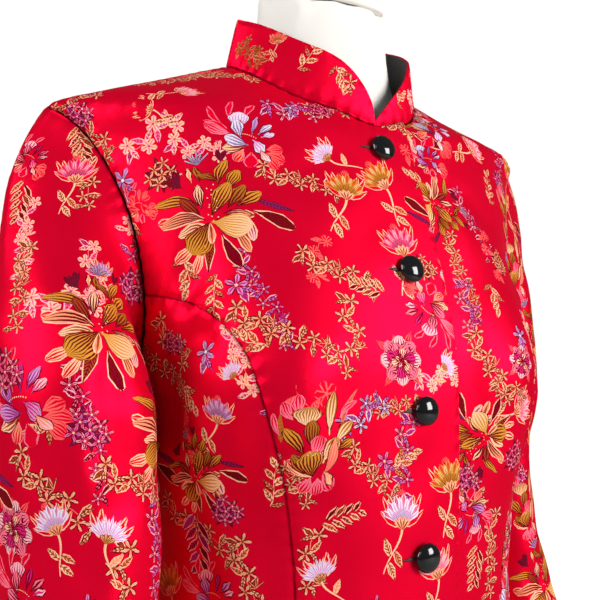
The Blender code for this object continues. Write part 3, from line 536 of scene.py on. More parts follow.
def armhole_ring():
    """Armhole places, body normals and the way into the sleeve, from the shoulder tip round."""
    upper, lower = split_armhole()
    chain = np.vstack((upper[:-1], lower[:-1], spread(armhole_back(), BACK_ROWS)[:-1]))
    tangent = np.roll(chain, -1, axis=0) - np.roll(chain, 1, axis=0)
    up = outward(chain)
    across = unit(np.cross(up, tangent))
    across *= np.sign(np.sum(across * (chain.mean(0) - chain), -1, keepdims=True))
    return chain - up * fold_depth(BODY_FOLDS + BODY_CREASES, chain)[:, None], up, across


def sleeve_grid(name):
    """Rings of a sleeve from its armhole to its cuff, and the normals there."""
    lines = ARM_LINES[name]
    place, up, across = armhole_ring()
    lengths = np.linalg.norm(np.roll(place, -1, axis=0) - place, axis=1)
    front = JOIN_ROWS + SIDE_COLUMNS
    run = np.concatenate(([0.0], np.cumsum(lengths)))[:-1]
    front_total, total = run[front], lengths.sum()
    angle = np.where(run <= front_total, math.pi * run / front_total,
                     math.pi * (1 + (run - front_total) / (total - front_total)))
    low = (1 - np.cos(angle)) / 2
    lift = (math.radians(UNDERARM_TURN) * np.sqrt(low))[:, None]
    start = place + across * (SEAM / 2 + TWIST)
    leave = across * np.cos(lift) + up * np.sin(lift)
    reach = (CAP_START[name] + (UNDERARM_START - CAP_START[name]) * low)[:, None]
    biceps = SLEEVES[name][0].drop
    end = arm_point(lines, np.full(angle.shape, biceps), angle)
    for _ in range(CAP_ROUNDS):
        leave = np.roll(leave, 1, axis=0) / 4 + leave / 2 + np.roll(leave, -1, axis=0) / 4
    hang = np.linalg.norm(end - start, axis=1, keepdims=True) * (0, 0, CAP_END)
    cap = [bezier(a, b, c, d, CAP_ROWS)
           for a, b, c, d in zip(start, start + unit(leave) * reach, end + hang, end)]
    grid = np.stack(cap, 1)
    drops = np.linspace(biceps, SLEEVES[name][-1].drop, ARM_ROWS + 1)[1:]
    arm = np.stack([arm_point(lines, np.full(angle.shape, d), angle) for d in drops])
    grid = np.concatenate((grid, arm))
    normals = ring_normals(grid)
    normals[0] = up * np.cos(lift) - across * np.sin(lift)
    return grid, normals, front


# Flat cutting of the panels

def links_of(points):
    """Pairs of neighbouring places in a grid, with their distances."""
    whole, front, rear = slice(None), slice(1, None), slice(None, -1)
    pairs = [((whole, front), (whole, rear)), ((front, whole), (rear, whole)),
             ((front, front), (rear, rear)), ((front, rear), (rear, front))]
    return [(a, b, np.linalg.norm(points[a] - points[b], axis=-1)) for a, b in pairs]


def evened(flat, points, rounds):
    """The flat grid drawn towards the distances between its points on the jacket."""
    links = links_of(points)
    count = np.zeros(flat.shape[:2])
    for a, b, _ in links:
        count[a] += 1
        count[b] += 1
    for _ in range(rounds):
        shift = np.zeros_like(flat)
        for a, b, length in links:
            gap = flat[a] - flat[b]
            reach = np.maximum(np.linalg.norm(gap, axis=-1), 1e-9)
            move = gap * ((length - reach) / reach / 2)[..., None]
            shift[a] += move
            shift[b] -= move
        flat = flat + shift / count[..., None]
    return flat


def squared(flat, points, normals, rounds):
    """The flat grid with every cell drawn towards its own shape on the jacket."""
    def corners(field):
        return np.stack((field[:-1, :-1], field[:-1, 1:], field[1:, 1:], field[1:, :-1]))

    there = corners(points)
    there = there - there.mean(0)
    facing = unit(corners(normals).mean(0))
    across = there[1] - there[0] + there[2] - there[3]
    across = unit(across - facing * np.sum(across * facing, -1, keepdims=True))
    own = np.stack([np.sum(there * across, -1), np.sum(there * np.cross(facing, across), -1)], -1)
    own = own[..., 0] + 1j * own[..., 1]
    spot = flat[..., 0] + 1j * flat[..., 1]
    count = np.full(spot.shape, 4.0)
    count[(0, -1), :] /= 2
    count[:, (0, -1)] /= 2
    for _ in range(rounds):
        here = corners(spot)
        middle = here.mean(0)
        turn = np.sum(own.conj() * (here - middle), 0)
        wanted = middle + own * turn / np.maximum(np.abs(turn), 1e-15)
        spot = np.zeros_like(spot)
        spot[:-1, :-1] += wanted[0]
        spot[:-1, 1:] += wanted[1]
        spot[1:, 1:] += wanted[2]
        spot[1:, :-1] += wanted[3]
        spot /= count
    return np.stack([spot.real, spot.imag], -1)


def flattened(grid, normals):
    """Flat places of a grid's points: Y runs up the grain, and X to the right, seen from outside."""
    coarse = grid[::FINE, ::FINE]
    rows, columns = coarse.shape[:2]
    middle = columns // 2
    across = np.linalg.norm(np.diff(coarse, axis=1), axis=-1)
    run = np.concatenate((np.zeros((rows, 1)), np.cumsum(across, axis=1)), axis=1)
    up = np.linalg.norm(np.diff(coarse[:, middle], axis=0), axis=-1)
    rise = np.concatenate(([0.0], np.cumsum(up)))
    if coarse[-1, middle, 2] < coarse[0, middle, 2]:
        rise = -rise
    climb = coarse[-1, middle] - coarse[0, middle]
    climb = climb * np.sign(climb[2])
    j = rows // 2
    side = np.cross(coarse[j, middle + 1] - coarse[j, middle - 1], climb) @ normals[j * FINE,
                                                                                middle * FINE]
    x = (run - run[:, middle:middle + 1]) * np.sign(side)
    flat = evened(np.stack([x, np.broadcast_to(rise[:, None], x.shape)], -1), coarse, 900)
    fine_rows = np.linspace(0, rows - 1, grid.shape[0])
    fine_columns = np.linspace(0, columns - 1, grid.shape[1])
    tall = np.stack([[np.interp(fine_rows, np.arange(rows), flat[:, i, k]) for i in range(columns)]
                     for k in range(2)], -1)
    full = np.stack([[np.interp(fine_columns, np.arange(columns), tall[:, j, k])
                      for j in range(grid.shape[0])] for k in range(2)], -1)
    flat = squared(evened(full, grid, 80), grid, normals, 200)
    return squared(evened(flat, grid, 60), grid, normals, 6)


def sample(field, r, c):
    """Values of a grid between its points, carried straight on past its edges."""
    i = np.clip(np.floor(r).astype(int), 0, field.shape[0] - 2)
    j = np.clip(np.floor(c).astype(int), 0, field.shape[1] - 2)
    s, t = (r - i)[:, None], (c - j)[:, None]
    return (field[i, j] * (1 - s) * (1 - t) + field[i + 1, j] * s * (1 - t)
            + field[i, j + 1] * (1 - s) * t + field[i + 1, j + 1] * s * t)


def slopes(field, r, c):
    """How fast a grid's values change along its rows' count and its columns' count."""
    i = np.clip(np.floor(r).astype(int), 0, field.shape[0] - 2)
    j = np.clip(np.floor(c).astype(int), 0, field.shape[1] - 2)
    s, t = (r - i)[:, None], (c - j)[:, None]
    by_row = (field[i + 1, j] - field[i, j]) * (1 - t) + (field[i + 1, j + 1] - field[i, j + 1]) * t
    by_column = ((field[i, j + 1] - field[i, j]) * (1 - s)
                 + (field[i + 1, j + 1] - field[i + 1, j]) * s)
    return by_row, by_column


def nearest(targets, places):
    """For each place, the number of the nearest target."""
    tree = KDTree(len(targets))
    width = targets.shape[1]
    for k, target in enumerate(targets.tolist()):
        tree.insert(target + [0.0] * (3 - width), k)
    tree.balance()
    return np.array([tree.find(p + [0.0] * (3 - width))[1] for p in places.tolist()])


SEAM_ROW_GAPS = (0.0013, 0.0032)
ALLOWANCE = 0.0012             # how far the turned cloth reaches on behind a seam
GROOVE = 0.0010                # how far the cloth dips into a seam
GROOVE_WIDTH = 0.0026
EDGE_ROUND = 0.0006
EDGE_WIDTH = 0.0014
PUCKER = 0.00038
PUCKER_LENGTH = 0.011
PUCKER_WIDTH = 0.0080


class Panel:
    """A cut piece of cloth: its flat shape, and its place on the jacket."""

    def __init__(self, name, grid, normals, seams, thickness=CLOTH):
        self.name, self.grid, self.normals, self.thickness = name, grid, normals, thickness
        self.flat = flattened(grid, normals)
        sides = {"bottom": self.flat[0], "right": self.flat[:, -1], "top": self.flat[-1, ::-1],
                 "left": self.flat[::-1, 0]}
        self.outline = np.vstack([side[:-1] for side in sides.values()])
        edge, sewn, run, tangent = [], [], [], []
        for side, chain in sides.items():
            length = np.linalg.norm(np.diff(chain, axis=0), axis=1).sum()
            dense = spread(chain, max(8, int(length / 0.0012)))
            edge.append(dense)
            sewn.append(np.full(len(dense), side in seams))
            run.append(np.linspace(0, length, len(dense)))
            tangent.append(unit(np.gradient(dense, axis=0)))
        self.edge, self.sewn = np.vstack(edge), np.concatenate(sewn)
        self.run, self.tangent = np.concatenate(run), np.vstack(tangent)

    def find(self, places):
        """The grid's row and column counts at flat places."""
        columns = self.flat.shape[1]
        k = nearest(self.flat.reshape(-1, 2), places)
        r, c = (k // columns).astype(float), (k % columns).astype(float)
        best_r, best_c, least = r, c, np.full(len(places), np.inf)
        for _ in range(8):
            inside = (np.clip(r, 0, self.flat.shape[0] - 1), np.clip(c, 0, columns - 1))
            miss = np.linalg.norm(places - sample(self.flat, *inside), axis=1)
            better = miss < least
            best_r, best_c = np.where(better, inside[0], best_r), np.where(better, inside[1], best_c)
            least = np.minimum(least, miss)
            gap = places - sample(self.flat, r, c)
            by_row, by_column = slopes(self.flat, r, c)
            area = by_row[:, 0] * by_column[:, 1] - by_row[:, 1] * by_column[:, 0]
            area = np.where(np.abs(area) < 1e-12, 1e-12, area)
            dr = (gap[:, 0] * by_column[:, 1] - gap[:, 1] * by_column[:, 0]) / area
            dc = (by_row[:, 0] * gap[:, 1] - by_row[:, 1] * gap[:, 0]) / area
            r, c = r + np.clip(dr, -2, 2), c + np.clip(dc, -2, 2)
        return best_r, best_c

    def seam_rows(self):
        """Flat places in rows beside the sewn edges, where the cloth dips into the seam."""
        wound = np.sign(doubled_area(self.outline))
        inward = np.stack([-self.tangent[:, 1], self.tangent[:, 0]], -1) * wound
        some = np.flatnonzero(self.sewn)[::2]
        return np.vstack([self.edge[some] + inward[some] * gap for gap in SEAM_ROW_GAPS]
                         + [np.zeros((0, 2))])

    def painted_seam_shade(self, places):
        """Share of painted seam shade at flat places: 1 on a sewn edge, falling to 0 at the first row.
        """
        k = nearest(self.edge, places)
        far = np.linalg.norm(places - self.edge[k], axis=1)
        return np.where(self.sewn[k], np.clip(1 - far / SEAM_ROW_GAPS[0], 0, 1), 0.0)

    def allowance(self, rim, places, normals):
        """Inner rim places moved on behind a sewn edge, so that no light shows through the seam."""
        sewn = self.sewn[nearest(self.edge, rim)]
        along = unit(np.roll(places, -1, axis=0) - np.roll(places, 1, axis=0))
        return places + np.cross(along, normals) * np.where(sewn, ALLOWANCE, 0.0)[:, None]

    def place(self, places):
        """Places and normals on the jacket for flat places, with seams and edges pressed."""
        r, c = self.find(places)
        points, facing = sample(self.grid, r, c), unit(sample(self.normals, r, c))
        row_flat, column_flat = slopes(self.flat, r, c)
        row_there, column_there = slopes(self.grid, r, c)
        area = row_flat[:, 0] * column_flat[:, 1] - row_flat[:, 1] * column_flat[:, 0]
        area = np.where(np.abs(area) < 1e-12, 1e-12, area)[:, None]
        along_x = (row_there * column_flat[:, 1:] - column_there * row_flat[:, 1:]) / area
        along_y = (column_there * row_flat[:, :1] - row_there * column_flat[:, :1]) / area
        facing_here = unit(np.cross(along_x, along_y))
        facing = unit(facing + facing_here * np.sign(np.sum(facing * facing_here, -1,
                                                            keepdims=True)) * 0.5)
        k = nearest(self.edge, places)
        gap = places - self.edge[k]
        far = np.linalg.norm(gap, axis=1)
        away = gap / np.maximum(far, 1e-9)[:, None]
        sewn = self.sewn[k]
        deep = np.where(sewn, GROOVE, EDGE_ROUND)
        wide = np.where(sewn, GROOVE_WIDTH, EDGE_WIDTH)
        dip = deep * np.exp(-(far / wide) ** 2)
        ease = np.where(sewn, PUCKER, PUCKER / 4) * np.exp(-(far / PUCKER_WIDTH) ** 2)
        turn = 2 * math.pi * self.run[k] / PUCKER_LENGTH + 2.0 * np.sin(self.run[k] * 61)
        height = -dip + ease * np.sin(turn)
        by_gap = 2 * far / wide ** 2 * dip - 2 * far / PUCKER_WIDTH ** 2 * ease * np.sin(turn)
        by_run = ease * np.cos(turn) * 2 * math.pi / PUCKER_LENGTH
        lean = away * by_gap[:, None] + self.tangent[k] * by_run[:, None]
        tilt = along_x * lean[:, :1] + along_y * lean[:, 1:]
        return points + facing * height[:, None], unit(facing - tilt)

    def area(self):
        """Flat area of the cut."""
        return abs(doubled_area(self.outline)) / 2


# Brocade motifs, drawn in millimetres with Y up

THREADS = {
    "cream": (1.00, 0.83, 0.66), "peach": (0.97, 0.62, 0.46), "gold": (0.83, 0.62, 0.20),
    "olive": (0.62, 0.47, 0.12), "bronze": (0.55, 0.27, 0.10), "brown": (0.22, 0.05, 0.05),
    "wine": (0.30, 0.00, 0.10), "pink": (1.00, 0.50, 0.60), "blush": (1.00, 0.78, 0.80),
    "magenta": (0.82, 0.16, 0.48), "lilac": (0.82, 0.60, 0.84), "purple": (0.48, 0.16, 0.50),
    "ice": (0.90, 0.92, 1.00), "slate": (0.46, 0.50, 0.70), "rose": (1.00, 0.42, 0.40),
    "navy": (0.13, 0.08, 0.17),
}
GROUND = "ground"
SOLID, PETAL, LEAF = 0, 1, 2   # plain thread, lines that fan from the base, veins from a midrib
LINE_SPACING = 2.1
Shape = namedtuple("Shape", "outline form edge body line base axis length width curl belly tip")


def way(angle):
    """The direction at an angle in degrees, to the left of straight up."""
    turn = math.radians(angle)
    return np.array((-math.sin(turn), math.cos(turn)))


def half_width(share, belly, tip):
    """Half width of a petal along its length, as a share of its widest."""
    return np.maximum(np.sin(math.pi * share ** (np.log(0.5) / np.log(belly))), 0.0) ** tip


def petal(base, angle, length, width, edge, body, line, curl=0.0, belly=0.66, tip=0.62,
          points=6, form=PETAL):
    """A petal that grows from its base towards an angle, to the left of straight up."""
    share = (1 - np.cos(np.linspace(0, math.pi, points))) / 2
    half = width / 2 * half_width(share, belly, tip)
    ahead, aside = way(angle), way(angle - 90)
    centre = (np.array(base, float) + np.outer(length * share, ahead)
              + np.outer(curl * length * share * share, aside))
    right, left = centre + np.outer(half, aside), centre - np.outer(half, aside)
    return [Shape(np.vstack((right, left[-2:0:-1])), form, edge, body, line, tuple(base), angle,
                  length, width, curl, belly, tip)]


def leaf(base, angle, length, width, edge, body, line, curl=0.0, points=5):
    """A leaf that grows from its base towards an angle."""
    return petal(base, angle, length, width, edge, body, line, curl, 0.42, 0.9, points, LEAF)


def plain(outline, thread):
    """A shape in one thread."""
    return [Shape(outline, SOLID, thread, thread, thread, (0.0, 0.0), 0, 10, 2, 0, 0.5, 1.0)]


def ribbon(points, width, thread):
    """A stem along a smooth line, thinner at its end, with its places and headings."""
    chain = spread(bezier(*[np.array(p, float) for p in points], 24), 8)
    tangent = unit(np.gradient(chain, axis=0))
    aside = np.stack([tangent[:, 1], -tangent[:, 0]], -1)
    half = np.linspace(width / 2, width / 5, len(chain))[:, None]
    outline = np.vstack((chain + aside * half, (chain - aside * half)[::-1]))
    return plain(outline, thread), chain, np.degrees(np.arctan2(-tangent[:, 0], tangent[:, 1]))


def dot(centre, radius, thread):
    """A small spot in one thread."""
    turn = np.linspace(0, 2 * math.pi, 5)[:4] + 0.4
    return plain(np.array(centre) + radius * np.stack([np.cos(turn), np.sin(turn)], -1), thread)


def blossom(centre, radius, edge, body, line, heart, turn=0, count=5):
    """A small open flower of pointed petals."""
    shapes = []
    for k in range(count):
        shapes += petal(centre, turn + 360 * k / count, radius, radius * 0.72, edge, body, line,
                        belly=0.6, tip=0.8, points=4)
    return shapes + dot(centre, radius * 0.17, heart)


def tuft(centre, heading, length, width, edge, body, line, spread_to=100, count=5):
    """Narrow blades in a fan."""
    shapes = []
    for k in range(count):
        turn = heading + spread_to * (k / (count - 1) - 0.5)
        shapes += petal(centre, turn, length * (1 - 0.2 * (k % 2)), width, edge, body, line,
                        belly=0.55, tip=0.9, points=4)
    return shapes


Colours = namedtuple("Colours", "edge pale light mid deep heart")
COLOURS = {name: Colours(*threads.split()) for name, threads in {
    "gold": "brown cream gold olive brown rose",
    "ice": "navy ice ice lilac slate pink",
    "pink": "wine blush pink magenta wine cream",
    "blush": "cream blush blush pink magenta magenta",
    "purple": "wine blush lilac magenta purple cream",
    "cream": "brown cream cream peach bronze bronze",
    "ghost": "rose ground ground ground rose rose",
    "slate": "wine ice lilac slate purple ice",
    "bronze": "bronze peach rose olive bronze rose",
}.items()}
# A flower's petals in drawing order: the way each points, its size, its bend, where it grows
# from, and the threads of its edge, body and lines
Part = namedtuple("Part", "way long wide curl x y edge body line")
PEONY = [Part(*row) for row in (
    (120, 20, 8, 0.1, -12, -12, "cream", "ground", "cream"),
    (150, 18, 7, 0.1, -10, -16, "cream", "ground", "cream"),
    (168, 27, 8, 0.1, -3, -8, "cream", "bronze", "brown"),
    (190, 26, 9, -0.1, 4, -12, "cream", "wine", "brown"),
    (206, 20, 7, 0.1, 12, -10, "cream", "peach", "bronze"),
    (184, 17, 7, 0.1, 23, -5, "cream", "blush", "bronze"),
    (-119, 30, 10, 0.1, 26, -1, "cream", "brown", "brown"),
    (-124, 26, 5, -0.1, 31, 6, "navy", "purple", "navy"),
    (-100, 15, 6, 0.1, 13, -1, "cream", "bronze", "brown"),
    (96, 12, 6, 0.1, -22, 6, "cream", "ground", "peach"),
    (20, 12, 5, 0.1, -13, 24, "navy", "wine", "navy"),
    (58, 13, 5, 0.1, -12, 23, "navy", "brown", "navy"),
    (10, 10, 5, 0.1, -6, 25, "wine", "cream", "peach"),
    (-4, 11, 6, -0.2, -1, 24, "brown", "olive", "brown"),
    (16, 9, 4, 0.2, 15, 35, "navy", "navy", "brown"),
    (-20, 9, 4, 0.2, 15, 35, "navy", "wine", "navy"),
    (-6, 17, 10, 0.4, 10, 20, "brown", "light", "deep"),
    (34, 13, 7, -0.4, 10, 22, "brown", "mid", "deep"),
    (-38, 16, 11, 0.1, 14, 16, "brown", "light", "deep"),
    (43, 26, 10, -0.6, -5, 9, "brown", "light", "deep"),
    (27, 20, 8, -0.1, -5, 0, "wine", "bronze", "brown"),
    (2, 17, 8, 0.1, -4, 6, "wine", "cream", "brown"),
    (55, 27, 11, -0.5, -3, -1, "cream", "peach", "brown"),
    (72, 20, 8, -0.35, -2, -5, "cream", "cream", "bronze"),
    (-62, 20, 10, 0.1, 17, 3, "brown", "light", "deep"),
    (-40, 20, 10, 0.1, 12, 3, "brown", "mid", "deep"),
    (-32, 26, 13, 0.1, 1, 0, "brown", "light", "deep"),
    (-88, 17, 7, 0.3, 8, 0, "wine", "peach", "brown"),
    (138, 23, 20, 0.1, -1, -3, "brown", "light", "deep"),
    (-117, 26, 19, -0.1, 0, -3, "brown", "pale", "light"),
    (176, 14, 6, 0.1, -1, -3, "cream", "peach", "bronze"),
)]
LOTUS = [Part(*row) for row in (
    (176, 11, 11, 0.1, 3, -9, "pink", "ground", "pink"),
    (146, 11, 9, 0.1, -1, -8, "pink", "ground", "pink"),
    (-150, 12, 10, 0.1, 6, -8, "pink", "ground", "pink"),
    (-18, 23, 4, 0.4, 24, 18, "pink", "ground", "olive"),
    (-34, 15, 5, 0.5, 23, 22, "pink", "ground", "pink"),
    (-3, 18, 4, 0.1, -15, 16, "olive", "ground", "olive"),
    (24, 14, 5, 0.3, -15, 20, "pink", "ground", "pink"),
    (30, 12, 8, 0.2, -6, 28, "pink", "ground", "pink"),
    (-2, 12, 9, 0.1, -2, 30, "pink", "ground", "pink"),
    (-13, 26, 9, 0.1, 14, 14, "brown", "olive", "cream"),
    (-42, 18, 9, 0.2, 17, 8, "brown", "olive", "cream"),
    (-66, 12, 7, 0.1, 18, 4, "brown", "gold", "brown"),
    (-12, 12, 20, 0.1, 1, 22, "brown", "mid", "cream"),
    (14, 21, 10, -0.2, -3, 5, "brown", "light", "deep"),
    (-6, 17, 11, 0.1, 2, 9, "wine", "mid", "deep"),
    (-24, 13, 11, 0.1, 3, 4, "pink", "ground", "pink"),
    (-40, 18, 11, 0.1, 7, -1, "brown", "mid", "cream"),
    (-54, 21, 9, -0.4, 6, -8, "brown", "peach", "rose"),
    (58, 18, 8, 0.2, 0, -8, "cream", "ground", "cream"),
    (38, 17, 9, 0.1, -1, -7, "brown", "mid", "deep"),
    (4, 16, 18, 0.1, 0, -8, "brown", "light", "deep"),
    (-140, 10, 7, 0.3, 7, -6, "navy", "cream", "peach"),
)]
BLOOM = [Part(*row) for row in (
    (38, 18, 5, -0.5, -12, 4, "pink", "ground", "ground"),
    (78, 20, 9, 0.2, -10, 2, "pink", "ground", "pink"),
    (58, 15, 6, 0.4, -16, 10, "pink", "ground", "ground"),
    (14, 14, 6, 0.4, -10, 14, "pink", "ground", "ground"),
    (-10, 12, 6, 0.4, 1, 16, "pink", "ground", "ground"),
    (-108, 15, 11, 0.1, 13, -13, "rose", "ground", "rose"),
    (-136, 13, 10, 0.1, 13, -15, "rose", "ground", "rose"),
    (-80, 12, 9, 0.1, 14, -10, "rose", "ground", "rose"),
    (178, 13, 11, 0.1, 3, -12, "pink", "ground", "ground"),
    (150, 12, 9, 0.1, -2, -10, "pink", "ground", "peach"),
    (100, 17, 9, 0.1, 0, -8, "edge", "cream", "bronze"),
    (-12, 16, 6, 0.1, 5, 2, "edge", "mid", "deep"),
    (-38, 14, 7, 0.2, 9, 2, "edge", "light", "deep"),
    (-62, 11, 7, 0.1, 11, 0, "edge", "pale", "mid"), (2, 14, 17, 0.1, -4, 6, "edge", "pale", "mid"),
    (17, 15, 11, 0.1, -3, -1, "edge", "light", "deep"),
    (74, 18, 11, 0.1, 2, -7, "edge", "light", "deep"),
    (-142, 13, 11, 0.1, 5, -2, "edge", "light", "mid"),
    (-168, 11, 8, -0.3, 10, -10, "edge", "pale", "peach"),
)]


def flower(c, parts):
    """A flower from its table of petals; slender ones are drawn as leaves."""
    shapes = []
    for part in parts:
        threads = [getattr(c, name, name) for name in (part.edge, part.body, part.line)]
        make = leaf if part.long > 3.2 * part.wide else petal
        shapes += make((part.x, part.y), part.way, part.long, part.wide, *threads,
                       curl=part.curl)
    return shapes


def peony(c):
    """A full flower with stamens, a blue tuft above and dark leaves below."""
    shapes = flower(c, PEONY) + tuft((0, 36), 4, 11, 2.6, "navy", "ice", "slate", 110, 6)
    shapes += tuft((-13, 28), 60, 8, 2.4, "navy", "brown", "navy", 120, 5)
    for k in range(16):
        spot = (1.5 + 3.2 * math.sin(1.7 * k) + 0.28 * k, -3 + 1.6 * k)
        shapes += dot(spot, 0.55, "cream")
    return shapes


def lotus(c):
    """A cupped flower with upright curled leaves."""
    shapes = flower(c, LOTUS)
    for k in range(7):
        shapes += dot((-1 + 1.5 * k, 6 + 1.1 * math.sin(2 * k)), 0.5, "blush")
    return shapes


def open_bloom(c):
    """A loose flower with outlined scrolls round it and a dotted throat."""
    shapes = flower(c, BLOOM)
    for k in range(9):
        shapes += dot((-4.5 + 1.5 * k, 2.2 - 0.08 * (k - 2) ** 2), 0.5, "cream")
    return shapes


def carnation(c):
    """A fringed fan on its cup, between outlined scrolls, on a curved stem."""
    stem, chain, heading = ribbon([(0, -5), (-1, -16), (-9, -20), (-13, -33)], 1.7, "cream")
    shapes = list(stem)
    for spot, turn, body in ((5, -120, "cream"), (4, 70, "peach"), (6, 60, "cream")):
        shapes += leaf(chain[spot], heading[spot] + turn, 13, 6, "cream", body, "bronze", 0.1)
    for turn, length, curl in ((70, 21, 0.6), (96, 16, 0.7), (50, 20, 0.4),
                               (-70, 22, -0.6), (-98, 16, -0.7), (-50, 20, -0.4)):
        shapes += petal((0, -3), turn, length, 5.5, "cream", GROUND, GROUND, curl, 0.6)
    for turn in (-24, -8, 8, 24):
        shapes += petal((turn * 0.1, 10), turn * 1.4, 10, 4, "rose", GROUND, GROUND, belly=0.5,
                        tip=1.0, points=4)
    for k, turn in enumerate(range(-66, 67, 12)):
        shapes += petal((0, -3), turn, 18 + 2.4 * (k % 2) - 0.04 * abs(turn), 4.2, c.light,
                        GROUND if k % 2 else c.pale, c.mid, turn * 0.002, 0.8, 0.8, 5)
    for k, turn in enumerate(range(-48, 49, 12)):
        shapes += petal((0, -4), turn, 12 + k % 2, 2.8, c.mid, c.light, c.deep, 0, 0.7, 0.8, 4)
    for turn in (40, 14, -14, -40):
        shapes += petal((0, -6), turn, 9, 4.4, "peach", "cream", "bronze", points=4)
    return shapes


def thistle(c):
    """A half ball of fine spikes on a scaled cup and a bent stem."""
    stem, chain, heading = ribbon([(0, -4), (0, -12), (9, -16), (15, -26)], 1.5, "cream")
    shapes = list(stem) + leaf(chain[4], heading[4] + 110, 11, 5, "cream", "cream", "peach", 0.1)
    for turn, length, curl in ((78, 17, 0.6), (48, 18, 0.4), (-78, 17, -0.6), (-48, 18, -0.4)):
        shapes += petal((0, -2), turn, length, 5.0, "cream", GROUND, GROUND, curl, 0.6)
    for k, turn in enumerate(range(-70, 71, 10)):
        shapes += petal((0, -2), turn, 13 + 2.4 * (k % 2), 2.3, c.light,
                        c.mid if k % 2 else c.pale, c.mid, 0, 0.6, 0.9, 4)
    for turn in (44, 15, -15, -44):
        shapes += petal((0, -4), turn, 6.5, 3.4, "bronze", "cream", "olive", points=4)
    return shapes


def rosette(c):
    """A round flower of ringed petals."""
    shapes = tuft((0, 0), 90, 23, 6, "rose", GROUND, "rose", 250, 7)
    for ring, (count, length, width) in enumerate(((8, 17, 13), (7, 12.5, 10), (6, 8.5, 7.5),
                                                   (4, 5, 5))):
        for k in range(count):
            body = (c.pale, c.light, c.mid, c.heart)[(ring + k % 2) % 4]
            shapes += petal((0, 0), 360 * k / count + 21 * ring, length, width, c.edge, body,
                            c.deep, 0.1, 0.74, 0.6, 6 if ring < 2 else 4)
    return shapes


def sprig(c, leaves=9, length=30.0):
    """Paired leaves on a bent stem."""
    stem, chain, heading = ribbon([(0, 0), (3, length / 3), (-4, length * 2 / 3), (1, length)],
                                  0.8, c.pale if c.pale != GROUND else "rose")
    shapes = list(stem)
    for k in range(leaves - 1):
        spot = min(k * 8 // (leaves - 1), 7)
        turn = heading[spot] + (50 if k % 2 else -50)
        shapes += leaf(chain[spot], turn, 10.5 - 0.3 * k, 4.8, c.pale if k % 3 else c.edge,
                       c.light if k % 3 == 1 else c.mid, c.deep)
    return shapes + leaf(chain[-1], heading[-1], 9, 4.6, c.pale, c.light, c.deep)


def garland(c, length=62.0):
    """Small blossoms, star outlines and leaves strung along a curve."""
    stem, chain, heading = ribbon([(0, 0), (9, length / 3), (-8, length * 2 / 3), (2, length)],
                                  0.6, c.mid if c.mid != GROUND else "rose")
    shapes = list(stem)
    count = max(3, round(length / 8.6))
    for k in range(count):
        spot = k * (len(chain) - 1) / (count - 1)
        low = min(int(spot), len(chain) - 2)
        place = chain[low] + (spot - low) * (chain[low + 1] - chain[low])
        side = np.array((3.8 if k % 2 else -3.8, 1.6 * math.sin(3 * k)))
        dark = "navy" if k % 3 == 0 and c.pale != GROUND else c.mid
        turn = 26 * math.sin(2.3 * k)
        shapes += leaf(place, heading[low] + turn + (112 if k % 2 else -104), 10.5, 4.8, c.pale,
                       dark, c.deep)
        shapes += leaf(place, heading[low] - turn + (48 if k % 2 else -52), 9.5, 4.4, c.edge, c.light,
                       c.deep)
        if k % 4 == 3:
            shapes += tuft(place - side, heading[low] + 180, 7, 2.6, c.edge, c.deep, c.mid, 150, 4)
        shapes += blossom(place + side, 6.2 - 0.15 * k, c.edge, c.pale if k % 2 else c.light,
                          c.mid, c.heart, k * 23)
    return shapes


def cluster(c):
    """A handful of small flowers with dark leaves behind."""
    shapes = []
    for k, turn in enumerate((20, 75, 130, 185, 240, 300)):
        shapes += leaf((0, 0), turn, 17 - 2 * (k % 2), 6, "navy" if k % 2 else "wine",
                       "brown" if k % 2 else c.deep, "navy")
    spots = ((0, 0), (7, 3), (-6, 5), (-3, -7), (6, -7), (1, 10), (-10, -2), (11, -2))
    for k, spot in enumerate(spots):
        shapes += blossom(spot, 5.8 - 0.3 * (k % 3), c.edge, c.pale if k % 2 else c.light, c.mid,
                          c.heart, k * 31)
    return shapes


def leaf_band(c):
    """Long dark leaves with bright edges, fanned along a stalk."""
    shapes = []
    for k in range(9):
        shapes += leaf((0.5 * (-1) ** k, -18 + 4.5 * k), 38 if k % 2 else -42, 19 - k, 6.0,
                       c.pale, "wine" if k % 2 else c.mid, "brown" if k % 3 else c.deep, 0.05)
    return shapes


def bud(c):
    """One small flower with two leaves."""
    return (leaf((0, -3), 150, 10, 5, c.pale, c.mid, c.deep)
            + leaf((0, -3), 200, 9, 4, c.edge, c.light, c.deep)
            + blossom((0, 0), 7.0, c.edge, c.light, c.mid, c.heart, 12))


MOTIFS = {"peony": peony, "lotus": lotus, "bloom": open_bloom, "carnation": carnation,
          "thistle": thistle, "rosette": rosette, "sprig": sprig, "garland": garland,
          "cluster": cluster, "leaves": leaf_band, "bud": bud,
          "twig": lambda c: sprig(c, 6, 18.0), "chain": lambda c: garland(c, 34.0),
          "spray": lambda c: garland(c, 88.0)}
REACH = {"peony": 30, "lotus": 24, "bloom": 24, "carnation": 20, "thistle": 16, "rosette": 16,
         "sprig": 14, "garland": 20, "cluster": 12, "leaves": 16, "twig": 9, "chain": 12,
         "spray": 24, "bud": 6}


def placed(shapes, spot, turn, size):
    """A motif's shapes moved to a flat place, in metres."""
    angle = math.radians(turn)
    across = np.array(((math.cos(angle), math.sin(angle)), (-math.sin(angle), math.cos(angle))))
    scale = size * 0.001
    return [s._replace(outline=s.outline @ across * scale + spot, axis=s.axis + turn,
                       base=tuple(np.array(s.base) @ across * scale + spot),
                       length=s.length * scale, width=s.width * scale) for s in shapes]


